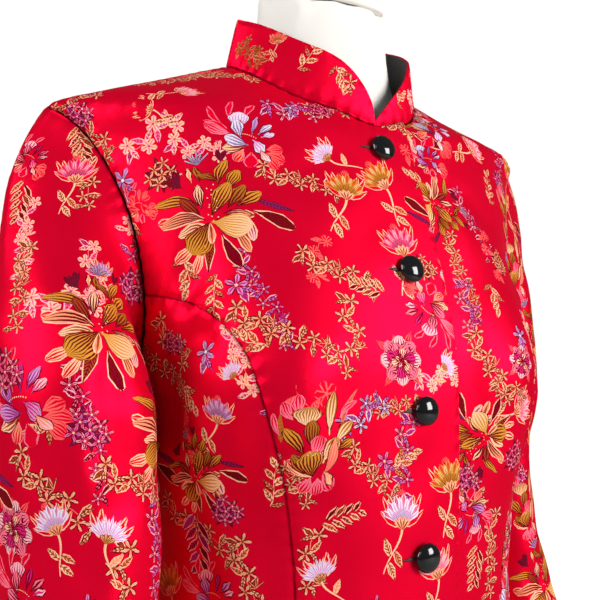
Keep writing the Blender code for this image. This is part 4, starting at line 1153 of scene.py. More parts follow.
# Where the motifs lie: places on the jacket in millimetres, the way each points, and its size
Spot = namedtuple("Spot", "motif colours x y z turn size")
LAYOUT = {piece: [Spot(*row) for row in rows] for piece, rows in {
    "right_front": (
        ("peony", "gold", -124, -70, -141, 0, 1.0), ("bloom", "ice", -96, -67, -86, -8, 0.92),
        ("garland", "cream", -96, -15, -30, 97, 0.9), ("garland", "cream", -74, -30, -38, 60, 0.8),
        ("chain", "cream", -176, -11, -60, 100, 0.8),
        ("cluster", "purple", -190, -11, -70, 0, 0.75),
        ("chain", "cream", -187, -16, -76, -160, 0.8), ("bud", "slate", -164, -30, -115, 20, 1.2),
        ("bloom", "ghost", -158, -37, -131, 0, 0.5), ("twig", "cream", -162, -33, -142, 172, 0.8),
        ("cluster", "pink", -42, -69, -63, 0, 0.6), ("chain", "cream", -52, -66, -62, -88, 0.8),
        ("carnation", "blush", -126, -41, -58, -62, 0.66),
        ("carnation", "ghost", -153, -39, -66, 60, 0.55),
        ("chain", "blush", -163, -36, -96, -68, 0.95),
        ("chain", "blush", -139, -52, -92, -110, 0.85),
        ("spray", "purple", -111, -85, -164, -168, 0.72),
        ("twig", "cream", -137, -60, -166, 168, 1.0), ("sprig", "cream", -124, -79, -178, 160, 0.9),
        ("bud", "purple", -114, -90, -185, 40, 1.1),
        ("garland", "cream", -91, -76, -112, -112, 0.82),
        ("chain", "purple", -78, -58, -64, -95, 0.9), ("bud", "slate", -64, -62, -66, 10, 0.8),
        ("carnation", "gold", -38, -92, -122, -14, 0.95),
        ("chain", "ghost", -62, -99, -156, 160, 0.8),
        ("garland", "cream", -77, -100, -166, -120, 0.85),
        ("chain", "cream", -52, -112, -196, 176, 0.9),
        ("leaves", "cream", -34, -110, -186, 70, 0.62),
        ("carnation", "pink", -4, -104, -158, 4, 0.98),
        ("cluster", "cream", 14, -107, -172, 0, 0.7), ("bloom", "pink", 12, -114, -202, 150, 0.85),
        ("rosette", "pink", -17, -119, -230, 0, 0.95), ("thistle", "ice", 18, -119, -238, -70, 0.7),
        ("chain", "blush", -2, -118, -246, -90, 0.8),
        ("garland", "cream", -42, -121, -258, -96, 0.7),
        ("spray", "cream", -118, -93, -200, -128, 0.85), ("bud", "ghost", -76, -124, -249, 0, 1.2),
        ("twig", "ghost", -84, -121, -258, 20, 1.0), ("lotus", "gold", -84, -118, -292, 2, 1.0),
        ("chain", "slate", -62, -123, -270, -70, 0.9),
        ("garland", "cream", -56, -121, -283, -140, 0.8),
        ("bud", "purple", -31, -120, -293, 30, 0.9), ("twig", "cream", -24, -119, -300, -60, 1.0),
        ("carnation", "ice", -17, -118, -330, -8, 0.98),
        ("leaves", "cream", -60, -116, -324, -80, 0.66),
        ("chain", "cream", -76, -112, -336, 178, 0.9), ("thistle", "ice", -71, -109, -357, 10, 0.9),
        ("carnation", "blush", 10, -116, -365, 6, 0.85),
        ("garland", "purple", -38, -112, -378, -160, 0.9),
    ),
    "left_front": (
        ("peony", "gold", 42, -88, -122, -96, 0.72), ("bloom", "slate", 45, -74, -88, 10, 0.62),
        ("spray", "cream", 48, -96, -146, -168, 0.72),
        ("garland", "pink", 66, -80, -112, -152, 0.9), ("chain", "ghost", 84, -92, -140, -160, 0.9),
        ("cluster", "cream", 96, -93, -162, 0, 0.75),
        ("chain", "purple", 46, -106, -182, -170, 0.85),
        ("twig", "cream", 74, -105, -182, -170, 1.0),
        ("garland", "cream", 48, -113, -218, -146, 0.85),
        ("rosette", "pink", 84, -121, -236, 0, 0.7), ("chain", "cream", 60, -122, -252, -100, 0.7),
        ("peony", "gold", 52, -119, -284, 150, 0.72), ("cluster", "purple", 38, -116, -312, 0, 0.8),
        ("bloom", "purple", 44, -113, -334, -170, 0.72),
        ("garland", "cream", 66, -112, -336, -176, 0.9),
        ("cluster", "pink", 80, -118, -300, 0, 0.8), ("leaves", "cream", 48, -110, -366, 175, 0.7),
    ),
    "right_sleeve": (
        ("leaves", "cream", -190, -14, -90, -150, 0.7),
        ("garland", "cream", -184, -15, -86, -158, 0.85), ("bloom", "pink", -221, -5, -102, 0, 0.6),
        ("leaves", "cream", -225, -13, -126, -172, 0.7),
        ("carnation", "pink", -196, -22, -113, 20, 0.85),
        ("garland", "blush", -222, -22, -128, -170, 0.8),
        ("garland", "cream", -229, -36, -160, -176, 0.8),
        ("chain", "blush", -190, -45, -160, -158, 0.9),
        ("thistle", "slate", -186, -52, -176, 8, 0.7), ("peony", "gold", -192, -73, -209, 4, 0.95),
        ("spray", "pink", -206, -80, -232, -166, 0.75),
        ("bloom", "purple", -234, -58, -252, 20, 1.05),
        ("cluster", "pink", -236, -48, -232, 0, 0.9), ("twig", "cream", -212, -80, -262, 120, 1.0),
        ("cluster", "purple", -200, -89, -265, 0, 0.8),
        ("garland", "cream", -190, -92, -284, -110, 0.85),
        ("garland", "cream", -234, -60, -282, -130, 0.9),
        ("carnation", "ice", -219, -80, -318, 26, 0.72),
        ("thistle", "ice", -192, -90, -322, -20, 0.9),
        ("chain", "cream", -180, -84, -330, 176, 0.9), ("bloom", "pink", -232, -60, -352, 0, 0.8),
        ("garland", "purple", -206, -86, -358, -140, 0.9),
        ("spray", "cream", -243, -20, -190, 178, 0.9), ("peony", "pink", -246, -10, -300, 10, 0.9),
        ("peony", "gold", -234, -56, -528, 10, 0.8),
        ("garland", "cream", -206, -66, -520, -160, 0.85),
        ("cluster", "purple", -246, -34, -556, 0, 0.8),
        ("carnation", "pink", -200, -62, -566, 14, 0.7),
        ("twig", "cream", -226, -58, -572, 110, 0.9),
        ("garland", "blush", -248, -12, -530, -176, 0.8),
    ),
    "collar": (
        ("bud", "bronze", -72, -6, 0, 40, 0.8), ("twig", "bronze", -68, -16, -14, -50, 0.8),
        ("carnation", "bronze", -58, -40, -6, 30, 0.42),
        ("chain", "bronze", -63, -28, -18, 70, 0.7), ("twig", "cream", -30, -69, -28, -120, 0.8),
        ("bud", "cream", -20, -73, -40, 20, 0.8), ("twig", "cream", 24, -68, -46, -70, 0.8),
    ),
    "right_side_front": (
        ("chain", "cream", -146, -42, -205, -150, 0.9),
        ("cluster", "purple", -142, -56, -220, 0, 0.6),
        ("thistle", "ice", -122, -96, -240, 24, 0.62),
        ("twig", "cream", -140, -58, -246, -140, 0.9),
        ("carnation", "slate", -127, -84, -264, -24, 0.72),
        ("garland", "ghost", -138, -60, -266, -168, 0.7),
        ("peony", "gold", -133, -66, -302, 8, 0.66), ("cluster", "purple", -119, -82, -318, 0, 0.7),
        ("leaves", "purple", -128, -58, -338, 170, 0.9),
        ("garland", "cream", -112, -84, -340, -174, 0.9),
        ("bloom", "purple", -124, -62, -372, 0, 0.8),
    ),
}.items()}
# One repeat of the woven pattern, in millimetres, tiled over what the layout leaves open
REPEAT_WIDTH = 156
REPEAT_HEIGHT = 210
Tile = namedtuple("Tile", "motif colours x y turn size")
REPEAT = [Tile(*row) for row in (
    ("peony", "gold", 36, 176, 6, 0.95), ("bloom", "ice", 82, 190, -14, 0.9),
    ("peony", "pink", 112, 64, -170, 0.9), ("carnation", "blush", 128, 182, -50, 0.85),
    ("carnation", "gold", 52, 92, 16, 0.95), ("thistle", "ice", 14, 112, 30, 0.9),
    ("garland", "cream", 66, 150, -118, 0.9), ("garland", "purple", 26, 138, 170, 0.9),
    ("chain", "blush", 104, 138, -70, 1.0), ("rosette", "pink", 92, 18, 0, 0.9),
    ("leaves", "cream", 134, 110, 160, 0.8), ("cluster", "purple", 18, 66, 0, 0.9),
    ("spray", "cream", 60, 52, -150, 0.8), ("lotus", "gold", 26, 26, 6, 0.95),
    ("sprig", "cream", 142, 140, -20, 0.9), ("chain", "ghost", 82, 116, -100, 1.0),
    ("twig", "cream", 96, 92, 60, 1.0), ("bud", "slate", 128, 24, 0, 1.1),
    ("garland", "blush", 148, 44, 176, 0.8), ("cluster", "cream", 60, 8, 0, 0.8),
)]
MARGIN = 0.014                 # motifs of the repeat keep this far from those of the layout
GROUND_STEP = 0.0046           # spacing of the points between motifs
LINING_STEP = 0.007
BEYOND = 0.03                  # how far past a panel's edge a motif's middle may lie
LAYER = {"garland": 0, "chain": 0, "spray": 0, "sprig": 1, "twig": 1, "leaves": 1}


def motif_shapes(panel, repeat_shift):
    """All shapes of a panel's brocade in drawing order, at flat places."""
    shapes, taken = [], []
    flat = panel.flat.reshape(-1, 2)
    there = panel.grid.reshape(-1, 3)
    named = []
    for spot in LAYOUT.get(panel.name, ()):
        place = np.array((spot.x, spot.y, spot.z)) * 0.001
        k = int(np.argmin(np.linalg.norm(there - place, axis=1)))
        named.append((spot, flat[k]))
        taken.append((flat[k], REACH[spot.motif] * spot.size * 0.001))
    low, high = flat.min(0) - BEYOND, flat.max(0) + BEYOND
    cell = np.array((REPEAT_WIDTH, REPEAT_HEIGHT)) * 0.001
    shift = np.array(repeat_shift) * 0.001
    first = np.floor((low - shift) / cell).astype(int)
    last = np.ceil((high - shift) / cell).astype(int)
    for column in range(first[0], last[0] + 1):
        for row in range(first[1], last[1] + 1):
            corner = shift + cell * (column, row + 0.5 * (column % 2))
            for tile in REPEAT:
                place = corner + np.array((tile.x, tile.y)) * 0.001
                reach = REACH[tile.motif] * tile.size * 0.001
                open_place = all(np.linalg.norm(place - spot) > 0.75 * (reach + far) + MARGIN * 0.3
                                 for spot, far in taken)
                if open_place and (place > low).all() and (place < high).all():
                    turn = tile.turn + 11 * math.sin(5 * column + 3 * row + tile.x)
                    shapes += placed(MOTIFS[tile.motif](COLOURS[tile.colours]), place, turn,
                                     tile.size)
    for spot, place in sorted(named, key=lambda entry: LAYER.get(entry[0].motif, 2)):
        shapes += placed(MOTIFS[spot.motif](COLOURS[spot.colours]), place, spot.turn, spot.size)
    return [s for s in shapes if (s.outline.max(0) > low + BEYOND).all()
            and (s.outline.min(0) < high - BEYOND).all()]


def linear(colour):
    """A display colour as scene-linear values."""
    c = np.asarray(colour, float)
    return np.where(c <= 0.04045, c / 12.92, ((c + 0.055) / 1.055) ** 2.4)


def anticlockwise(points):
    """A loop of flat places, wound anticlockwise."""
    return points if doubled_area(points) > 0 else points[::-1]


def cut_pattern(panel, shapes):
    """The panel's flat outline cut along every shape: points, triangles, and each one's top shape.

    Shapes are counted from 1, and 0 is the bare ground.
    """
    low, high = panel.flat.min((0, 1)), panel.flat.max((0, 1))
    across = np.arange(low[0], high[0], GROUND_STEP)
    up = np.arange(low[1], high[1], GROUND_STEP * 0.866)
    grid = np.stack(np.meshgrid(across, up), -1)
    grid[1::2, :, 0] += GROUND_STEP / 2
    points = [tuple(p) for p in anticlockwise(panel.outline)]
    faces = [list(range(len(points)))]
    for shape in shapes:
        faces.append(list(range(len(points), len(points) + len(shape.outline))))
        points += [tuple(p) for p in anticlockwise(shape.outline)]
    points += [tuple(p) for p in grid.reshape(-1, 2)]
    points += [tuple(p) for p in panel.seam_rows()]
    scaled = [Vector((x * 1000, y * 1000)) for x, y in points]
    verts, _, triangles, _, _, sources = delaunay_2d_cdt(scaled, [], faces, 0, 0.003, True)
    kept = [(t, max(s)) for t, s in zip(triangles, sources) if s and min(s) == 0]
    verts = np.array([(v.x, v.y) for v in verts]) / 1000
    return verts, np.array([t for t, _ in kept]), np.array([s for _, s in kept])


def turned_out(flat, triangles):
    """Triangles wound the same way round in the flat."""
    a, b, c = (flat[triangles[:, k]] for k in range(3))
    area = (b[:, 0] - a[:, 0]) * (c[:, 1] - a[:, 1]) - (b[:, 1] - a[:, 1]) * (c[:, 0] - a[:, 0])
    flip = area < 0
    triangles = triangles.copy()
    triangles[flip] = triangles[flip][:, ::-1]
    return triangles


def only_used(flat, triangles):
    """The flat places that triangles use, the triangles renumbered, and every place's new number."""
    used = np.unique(triangles)
    number = np.full(len(flat), -1)
    number[used] = np.arange(len(used))
    return flat[used], number[triangles], number


def rim_of(triangles):
    """The boundary of a triangle mesh as one loop of point numbers."""
    sides = np.vstack((triangles[:, (0, 1)], triangles[:, (1, 2)], triangles[:, (2, 0)]))
    count = int(sides.max()) + 1
    forward = sides[:, 0] * count + sides[:, 1]
    backward = sides[:, 1] * count + sides[:, 0]
    rim = sides[~np.isin(forward, backward)]
    following = {int(a): int(b) for a, b in rim}
    start = int(rim[0, 0])
    loop, here = [start], following[start]
    while here != start:
        loop.append(here)
        here = following[here]
    if len(loop) != len(rim):
        raise RuntimeError(f"a panel's rim is {len(rim)} sides long and its loop {len(loop)}")
    return loop


def lining_cut(panel, rim):
    """The inner side of a wall: the rim's own places, and a coarse grid between them."""
    low, high = panel.flat.min((0, 1)), panel.flat.max((0, 1))
    grid = np.stack(np.meshgrid(np.arange(low[0], high[0], LINING_STEP),
                                np.arange(low[1], high[1], LINING_STEP)), -1).reshape(-1, 2)
    near = panel.edge[nearest(panel.edge, grid)]
    grid = grid[np.linalg.norm(grid - near, axis=1) > LINING_STEP * 0.3]
    points = [Vector(p * 1000) for p in np.vstack((rim, grid))]
    verts, _, triangles, origins, _, sources = delaunay_2d_cdt(
        points, [], [list(range(len(rim)))], 0, 0.00001, True)
    place = {}
    for k, origin in enumerate(origins):
        for o in origin:
            if o < len(rim):
                place[o] = k
    if len(place) != len(rim) or len(set(place.values())) != len(rim):
        raise RuntimeError("a panel's lining has lost part of its rim")
    kept = np.array([t for t, s in zip(triangles, sources) if s])
    flat = np.array([(v.x, v.y) for v in verts]) / 1000
    flat, kept, number = only_used(flat, kept)
    return flat, kept, number[[place[k] for k in range(len(rim))]]


def thread_colours(shapes, part):
    """A colour row for each shape's edge, body or lines, with no cover where there is none."""
    ground = (0.0, 0.0, 0.0, 0.0)
    rows = [ground]
    for shape in shapes:
        name = getattr(shape, part)
        rows.append(ground if name == GROUND else (*linear(THREADS[name]), 1.0))
    return np.array(rows)


def stitch_places(shapes, owner, corners):
    """Where each corner lies in its shape: along in mm, across from -1 to 1, half width in mm."""
    def column(name, first):
        return np.array([first] + [getattr(shape, name) for shape in shapes])[owner]
    axis = np.radians(column("axis", 0.0))
    gap = corners - column("base", (0.0, 0.0))
    length, form = np.maximum(column("length", 1.0), 1e-6), column("form", SOLID)
    along = -gap[:, 0] * np.sin(axis) + gap[:, 1] * np.cos(axis)
    share = np.clip(along / length, 0, 1)
    across = gap[:, 0] * np.cos(axis) + gap[:, 1] * np.sin(axis)
    across = across - column("curl", 0.0) * length * share ** 2
    width = column("width", 0.002)
    half = width / 2 * half_width(share, column("belly", 0.5), column("tip", 1.0))
    side = np.clip(across / np.maximum(half, 1e-5), -1, 1)
    solid = form == SOLID
    side, half = np.where(solid, 0.0, side), np.where(solid, 0.001, half)
    lines = np.maximum(1, np.round(width * 500 / LINE_SPACING))
    return (np.stack([along * 1000, side, half * 1000], -1), np.stack([share, form, lines], -1))


def write_layer(mesh, name, kind, field, rows):
    """A new attribute of a mesh, of a type and a domain, filled with its values."""
    layer = mesh.attributes.new(name, *kind)
    layer.data.foreach_set(field, rows.astype(np.float32).ravel())


def sewn_panel(panel, materials, shapes):
    """A closed wall of brocade from a panel: cut outside, lined inside, turned edges between."""
    flat, triangles, top = cut_pattern(panel, shapes)
    triangles = turned_out(flat, triangles)
    flat, triangles, _ = only_used(flat, triangles)
    rim = rim_of(triangles)
    inner_flat, inner_triangles, inner_rim = lining_cut(panel, flat[rim])
    inner_triangles = turned_out(inner_flat, inner_triangles)[:, ::-1]
    outer, outer_normals = panel.place(flat)
    inner, inner_normals = panel.place(inner_flat)
    inner = inner - inner_normals * panel.thickness
    inner[inner_rim] = panel.allowance(inner_flat[inner_rim], inner[inner_rim],
                                       inner_normals[inner_rim])
    first = len(outer)
    a, b = np.array(rim), np.roll(rim, -1)
    c, d = inner_rim + first, np.roll(inner_rim, -1) + first
    edge = np.vstack((np.stack([b, a, c], -1), np.stack([b, c, d], -1)))
    faces = np.vstack((triangles, inner_triangles + first, edge))
    points = np.vstack((outer, inner))
    corner = points[faces]
    facing = np.cross(corner[:, 1] - corner[:, 0], corner[:, 2] - corner[:, 0])
    if np.sum(facing[:len(triangles)] * outer_normals[triangles[:, 0]]) < 0:
        faces = faces[:, ::-1]
    points[:, 2] += NECK_POINT_HEIGHT
    mesh = bpy.data.meshes.new(panel.name)
    mesh.from_pydata(points, [], faces)
    for material in materials:
        mesh.materials.append(material)
    slot = np.zeros(len(faces), dtype=np.int32)
    slot[len(triangles):len(triangles) + len(inner_triangles)] = 1
    mesh.polygons.foreach_set("material_index", slot)
    corners = faces.ravel()
    both = np.vstack((flat, inner_flat))[corners]
    owner = np.zeros(len(faces), dtype=int)
    owner[:len(triangles)] = top
    owner = np.repeat(owner, 3)
    for name in ("edge", "body", "line"):
        colours = thread_colours(shapes, name)[owner]
        write_layer(mesh, name, ("FLOAT_COLOR", "CORNER"), "color", colours)
    for name, rows in zip(("stitch", "form"), stitch_places(shapes, owner, both)):
        write_layer(mesh, name, ("FLOAT_VECTOR", "CORNER"), "vector", rows)
    # Painted shade along the sewn seams: how far each point is darkened towards the seam line
    shade = panel.painted_seam_shade(np.vstack((flat, inner_flat)))
    write_layer(mesh, "seam", ("FLOAT", "POINT"), "value", shade)
    uv = mesh.uv_layers.new(name="cloth")
    uv.data.foreach_set("uv", both.astype(np.float32).ravel())
    mesh.shade_smooth()
    normals = np.vstack((outer_normals, -inner_normals))[corners]
    normals[3 * (len(triangles) + len(inner_triangles)):] = 0.0
    mesh.normals_split_custom_set(normals)
    mesh.validate(clean_customdata=False)
    thing = bpy.data.objects.new(panel.name + "_brocade", mesh)
    bpy.context.scene.collection.objects.link(thing)
    return thing


def declare(thing, node, panel):
    """Attach a finished panel to the root body and hide its CAD node; its flat area is worked out and
    not kept.
    """
    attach(thing, "root")
    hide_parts(node)
    float(panel.area())


# The pieces

def collar_rise(arc, sweep):
    """Height of the collar at distances from one of its front ends."""
    share = 1 - np.clip(arc / sweep.length, 0, 1)
    swept = np.maximum(1 - share ** sweep.fullness, 0) ** (1 / sweep.flatness)
    return np.maximum(COLLAR_TIP, COLLAR_HEIGHT * swept)


def collar_stand():
    """The collar's foot, its ways up and out, its lean, its height and the distance to its end."""
    share = np.linspace(0, 1, 24 * FINE + 1)
    angle = 360 * (share - 0.75 * np.sin(2 * math.pi * share) / (2 * math.pi))
    place = plan_point(-angle)
    tangent = np.gradient(place, axis=0)
    up = outward(place)
    across = unit(np.cross(up, tangent))
    inward = place * (-1, -1, 0)
    across *= np.sign(np.sum(across * inward, -1, keepdims=True))
    arc = np.concatenate(([0.0], np.cumsum(np.linalg.norm(np.diff(place, axis=0), axis=1))))
    from_end = np.minimum(arc, arc[-1] - arc)
    rise = np.where(angle < 180, collar_rise(from_end, RIGHT_END), collar_rise(from_end, LEFT_END))
    sink = np.where((place[:, 0] > -SEAM) & (angle > 180), lap_depth(place[:, 0]), 0.0)[:, None]
    foot = place + across * (SEAM / 2 + TWIST) - up * sink
    foot[0, 0] -= SEAM
    foot[-1, 0] += SEAM
    turn = np.radians(-angle)
    depth = np.where(np.cos(turn) > 0, COLLAR_TOP_FRONT, COLLAR_TOP_BACK)
    flat = unit(up * (1, 1, 0))
    top = np.stack([COLLAR_TOP_HALF_WIDTH * np.sin(turn), -depth * np.cos(turn),
                    foot[:, 2] + COLLAR_HEIGHT], -1) - flat * sink
    top[(0, -1), 0] = foot[(0, -1), 0]
    return foot, up, flat, (top - foot) / COLLAR_HEIGHT, rise, from_end


def collar_panels():
    """The brocade band, and the lining band inside it."""
    foot, up, flat, lean, rise, from_end = collar_stand()
    shares = np.linspace(0, 1, 4 * FINE)
    rows = [foot] + [foot + lean * (COLLAR_FOOT / 2 + s * (rise - COLLAR_FOOT / 2))[:, None]
                     for s in shares]
    facing = [up] + [flat] * len(shares)
    band = Panel("collar", np.stack(rows), np.stack(facing), ("bottom",))
    inside = from_end > LINING_START
    keep = np.flatnonzero(inside)
    keep = keep[: (len(keep) - 1) // FINE * FINE + 1]
    foot, flat, lean, rise = foot[keep], flat[keep], lean[keep], rise[keep]
    rows = [foot - flat * (CLOTH + SEAM)
            + lean * (COLLAR_FOOT + s * (rise - LINING_BORDER - COLLAR_FOOT))[:, None]
            for s in np.linspace(0, 1, 4 * FINE + 1)]
    lining = Panel("collar_lining", np.stack(rows), np.stack([flat] * len(rows)), (), LINING)
    return band, lining


def dropped(grid, normals, folds):
    """A grid with its folds pressed in, the same ones on either side of the body."""
    near = np.concatenate((np.abs(grid[..., :1]), grid[..., 1:]), -1)
    return grid - normals * fold_depth(folds, near)[..., None]


def own_normals(grid, like):
    """Normals of a grid's surface, on the same side as those given."""
    facing = unit(np.cross(np.gradient(grid, axis=1), np.gradient(grid, axis=0)))
    return facing * np.sign(np.sum(facing * like, -1, keepdims=True))


def body_panel(name, grid, edges, seams, right=False, under=False):
    """A panel of the jacket's body with its folds."""
    normals = outward(grid)
    outer = dropped(trimmed(grid, normals, edges), normals, BODY_FOLDS)
    outer = dropped(outer, normals, BODY_CREASES)
    row, column = np.indices(grid.shape[:2])
    inset = np.minimum.reduce((row, row[::-1], column, column[:, ::-1]))
    fade = np.clip(inset / (2.0 * FINE), 0, 1)
    where = mirrored(outer) if right else outer
    outer = outer + normals * (drape(where) * fade)[..., None]
    if under:
        outer = outer - normals * lap_depth(outer[..., 0])[..., None]
    normals = own_normals(outer, normals)
    if right:
        outer, normals = mirrored(outer), mirrored(normals)
    return Panel(name, outer, normals, seams)


def sleeve_panel(name):
    """A sleeve, opened flat along its underarm seam."""
    grid, normals, front = sleeve_grid(name)
    grid = grid - normals * fold_depth(SLEEVE_FOLDS[name], grid)[..., None]
    down = np.arange(grid.shape[0])[:, None]
    fade = np.clip(down / (4.0 * FINE), 0, 1)
    grid = grid + normals * (1.6 * drape(grid * (1.1, 1.3, 0.9)) * fade)[..., None]
    grid = np.concatenate((grid[:, front:], grid[:, :front + 1]), axis=1)
    normals = np.concatenate((normals[:, front:], normals[:, :front + 1]), axis=1)
    grid = trimmed(grid, normals, ("left", "right"))
    better = own_normals(grid, normals)
    better[0] = normals[0]
    for side in (0, -1):
        better[1:, side] = unit(better[1:, 0] + better[1:, -1])
    if name.startswith("right"):
        grid, better = mirrored(grid), mirrored(better)
    return Panel(name, grid, better, ("bottom", "left", "right"))


def button_places():
    """The place of each button on the centre front, and the normal there."""
    chain = front_point(0.0, np.linspace(-plan_point(0)[2], JACKET_LENGTH, 601))
    run = np.concatenate(([0.0], np.cumsum(np.linalg.norm(np.diff(chain, axis=0), axis=1))))
    wanted = FIRST_BUTTON + BUTTON_SPACING * np.arange(BUTTON_COUNT)
    places = np.stack([np.interp(wanted, run, chain[:, k]) for k in range(3)], -1)
    return places, outward(places)


# Materials

PAPER_WHITE = (1.0, 0.985, 0.965, 1.0)


def new_material(name):
    """A new finish, with its node tree and its shader."""
    material = bpy.data.materials.new(name)
    material.use_nodes = True
    tree = material.node_tree
    return material, tree, tree.nodes["Principled BSDF"]


def link(tree, source, target):
    """Join an output socket to an input socket."""
    tree.links.new(source, target)


def node(tree, kind, **settings):
    """A new node with its settings."""
    made = tree.nodes.new(kind)
    for name, value in settings.items():
        setattr(made, name, value)
    return made


def feed(tree, socket, value):
    """Give a socket a number or a colour, or link it to another node's output."""
    if isinstance(value, (int, float, tuple)):
        socket.default_value = value
    else:
        link(tree, value, socket)


def maths(tree, operation, *values):
    """A Math node fed by sockets or numbers; gives its output socket."""
    made = node(tree, "ShaderNodeMath", operation=operation)
    for socket, value in zip(made.inputs, values):
        feed(tree, socket, value)
    return made.outputs[0]


def blend_colours(tree, share, first, second):
    """A Mix node for colours; gives its output socket."""
    made = node(tree, "ShaderNodeMix", data_type="RGBA")
    for k, value in ((0, share), (6, first), (7, second)):
        feed(tree, made.inputs[k], value)
    return made.outputs[2]


def bumped(tree, shader, height, strength, distance):
    """Raise a finish's surface by a height."""
    bump = node(tree, "ShaderNodeBump")
    bump.inputs["Strength"].default_value = strength
    bump.inputs["Distance"].default_value = distance
    link(tree, height, bump.inputs["Height"])
    link(tree, bump.outputs[0], shader.inputs["Normal"])


def satin_on(tree, threads_per_metre):
    """The satin weave laid along the cloth."""
    cloth = node(tree, "ShaderNodeUVMap", uv_map="cloth")
    satin = node(tree, "ShaderNodeGroup", node_tree=satin_group())
    link(tree, cloth.outputs["UV"], satin.inputs["Cloth"])
    satin.inputs["Threads per metre"].default_value = threads_per_metre
    return satin


def new_group(name, inputs, outputs):
    """An empty node group with its sockets, and its two end nodes."""
    tree = bpy.data.node_groups.new(name, "ShaderNodeTree")
    for side, sockets in (("INPUT", inputs), ("OUTPUT", outputs)):
        for label, kind in sockets:
            tree.interface.new_socket(name=label, in_out=side, socket_type="NodeSocket" + kind)
    return tree, node(tree, "NodeGroupInput"), node(tree, "NodeGroupOutput")


def ridge(tree, count):
    """A wave from 0 on each whole count to 1 midway."""
    wave = maths(tree, "ABSOLUTE", maths(tree, "SUBTRACT", maths(tree, "FRACT", count), 0.5))
    return maths(tree, "MULTIPLY_ADD", wave, -2.0, 1.0)


def thread_group():
    """Node group: which of a shape's threads lies on top, worked out from its stitches."""
    if "Brocade threads" in bpy.data.node_groups:
        return bpy.data.node_groups["Brocade threads"]
    tree, start, end = new_group(
        "Brocade threads",
        (("Stitch", "Vector"), ("Form", "Vector"), ("Worn", "Float"), ("Border", "Float")),
        (("Shape", "Float"), ("Edge", "Float"), ("Lines", "Float"), ("Height", "Float")))
    place = node(tree, "ShaderNodeSeparateXYZ")
    link(tree, start.outputs["Stitch"], place.inputs[0])
    along, side, half = place.outputs
    kind = node(tree, "ShaderNodeSeparateXYZ")
    link(tree, start.outputs["Form"], kind.inputs[0])
    share, form, lines = kind.outputs
    away = maths(tree, "ABSOLUTE", side)
    inside = maths(tree, "MULTIPLY", maths(tree, "SUBTRACT", 1.0, away), half)
    is_petal = maths(tree, "COMPARE", form, 1.0, 0.1)
    is_leaf = maths(tree, "COMPARE", form, 2.0, 0.1)
    fan = ridge(tree, maths(tree, "MULTIPLY", side, lines))
    steps = ridge(tree, maths(tree, "MULTIPLY", along, 0.9))
    lobes = maths(tree, "MULTIPLY", fan, maths(tree, "MULTIPLY", share, is_petal))
    bite = maths(tree, "MULTIPLY_ADD", steps, 0.12, maths(tree, "MULTIPLY", lobes, 0.35))
    bite = maths(tree, "MULTIPLY", bite, maths(tree, "MINIMUM", half, 1.0))
    depth = maths(tree, "SUBTRACT", inside, bite)
    cut = maths(tree, "GREATER_THAN", depth, -0.001)
    shape = maths(tree, "MULTIPLY", cut, start.outputs["Worn"])
    thin = maths(tree, "MULTIPLY", half, 0.42)
    border = maths(tree, "MINIMUM", start.outputs["Border"], thin)
    edge = maths(tree, "LESS_THAN", depth, border)
    reach = maths(tree, "MULTIPLY_ADD", share, -0.95, 1.05)
    fanned = maths(tree, "MULTIPLY", maths(tree, "LESS_THAN", fan, reach), is_petal)
    slant = maths(tree, "MULTIPLY", maths(tree, "MULTIPLY", away, half), 1.2)
    veins = ridge(tree, maths(tree, "DIVIDE", maths(tree, "SUBTRACT", along, slant), 2.2))
    veined = maths(tree, "LESS_THAN", veins, 0.52)
    spine = maths(tree, "LESS_THAN", maths(tree, "MULTIPLY", away, half), 0.28)
    veined = maths(tree, "MULTIPLY", maths(tree, "MAXIMUM", veined, spine), is_leaf)
    drawn = maths(tree, "MAXIMUM", fanned, veined)
    link(tree, shape, end.inputs["Shape"])
    link(tree, edge, end.inputs["Edge"])
    link(tree, drawn, end.inputs["Lines"])
    raised = maths(tree, "MULTIPLY_ADD", edge, 0.45, maths(tree, "MULTIPLY_ADD", drawn, -0.3, 0.55))
    link(tree, maths(tree, "MULTIPLY", raised, shape), end.inputs["Height"])
    return tree


def satin_group():
    """Node group: the fine twill of satin, its slow unevenness, and the glint of single threads."""
    if "Satin weave" in bpy.data.node_groups:
        return bpy.data.node_groups["Satin weave"]
    tree, start, end = new_group(
        "Satin weave", (("Cloth", "Vector"), ("Threads per metre", "Float")),
        (("Height", "Float"), ("Unevenness", "Float"), ("Glint", "Float")))
    split = node(tree, "ShaderNodeSeparateXYZ")
    link(tree, start.outputs["Cloth"], split.inputs[0])
    slant = maths(tree, "MULTIPLY_ADD", split.outputs[0], 2.0, split.outputs[1])
    turn = maths(tree, "MULTIPLY", slant, start.outputs["Threads per metre"])
    link(tree, maths(tree, "SINE", maths(tree, "MULTIPLY", turn, 6.2832)), end.inputs["Height"])
    stretch = node(tree, "ShaderNodeVectorMath", operation="MULTIPLY")
    stretch.inputs[1].default_value = (1.0, 3.2, 1.0)
    link(tree, start.outputs["Cloth"], stretch.inputs[0])
    for source, scale, detail, name in ((start.outputs["Cloth"], 22, 3, "Unevenness"),
                                        (stretch.outputs[0], 760, 1, "Glint")):
        noise = node(tree, "ShaderNodeTexNoise", noise_dimensions="2D")
        noise.inputs["Scale"].default_value = scale
        noise.inputs["Detail"].default_value = detail
        link(tree, source, noise.inputs["Vector"])
        link(tree, noise.outputs[0], end.inputs[name])
    return tree


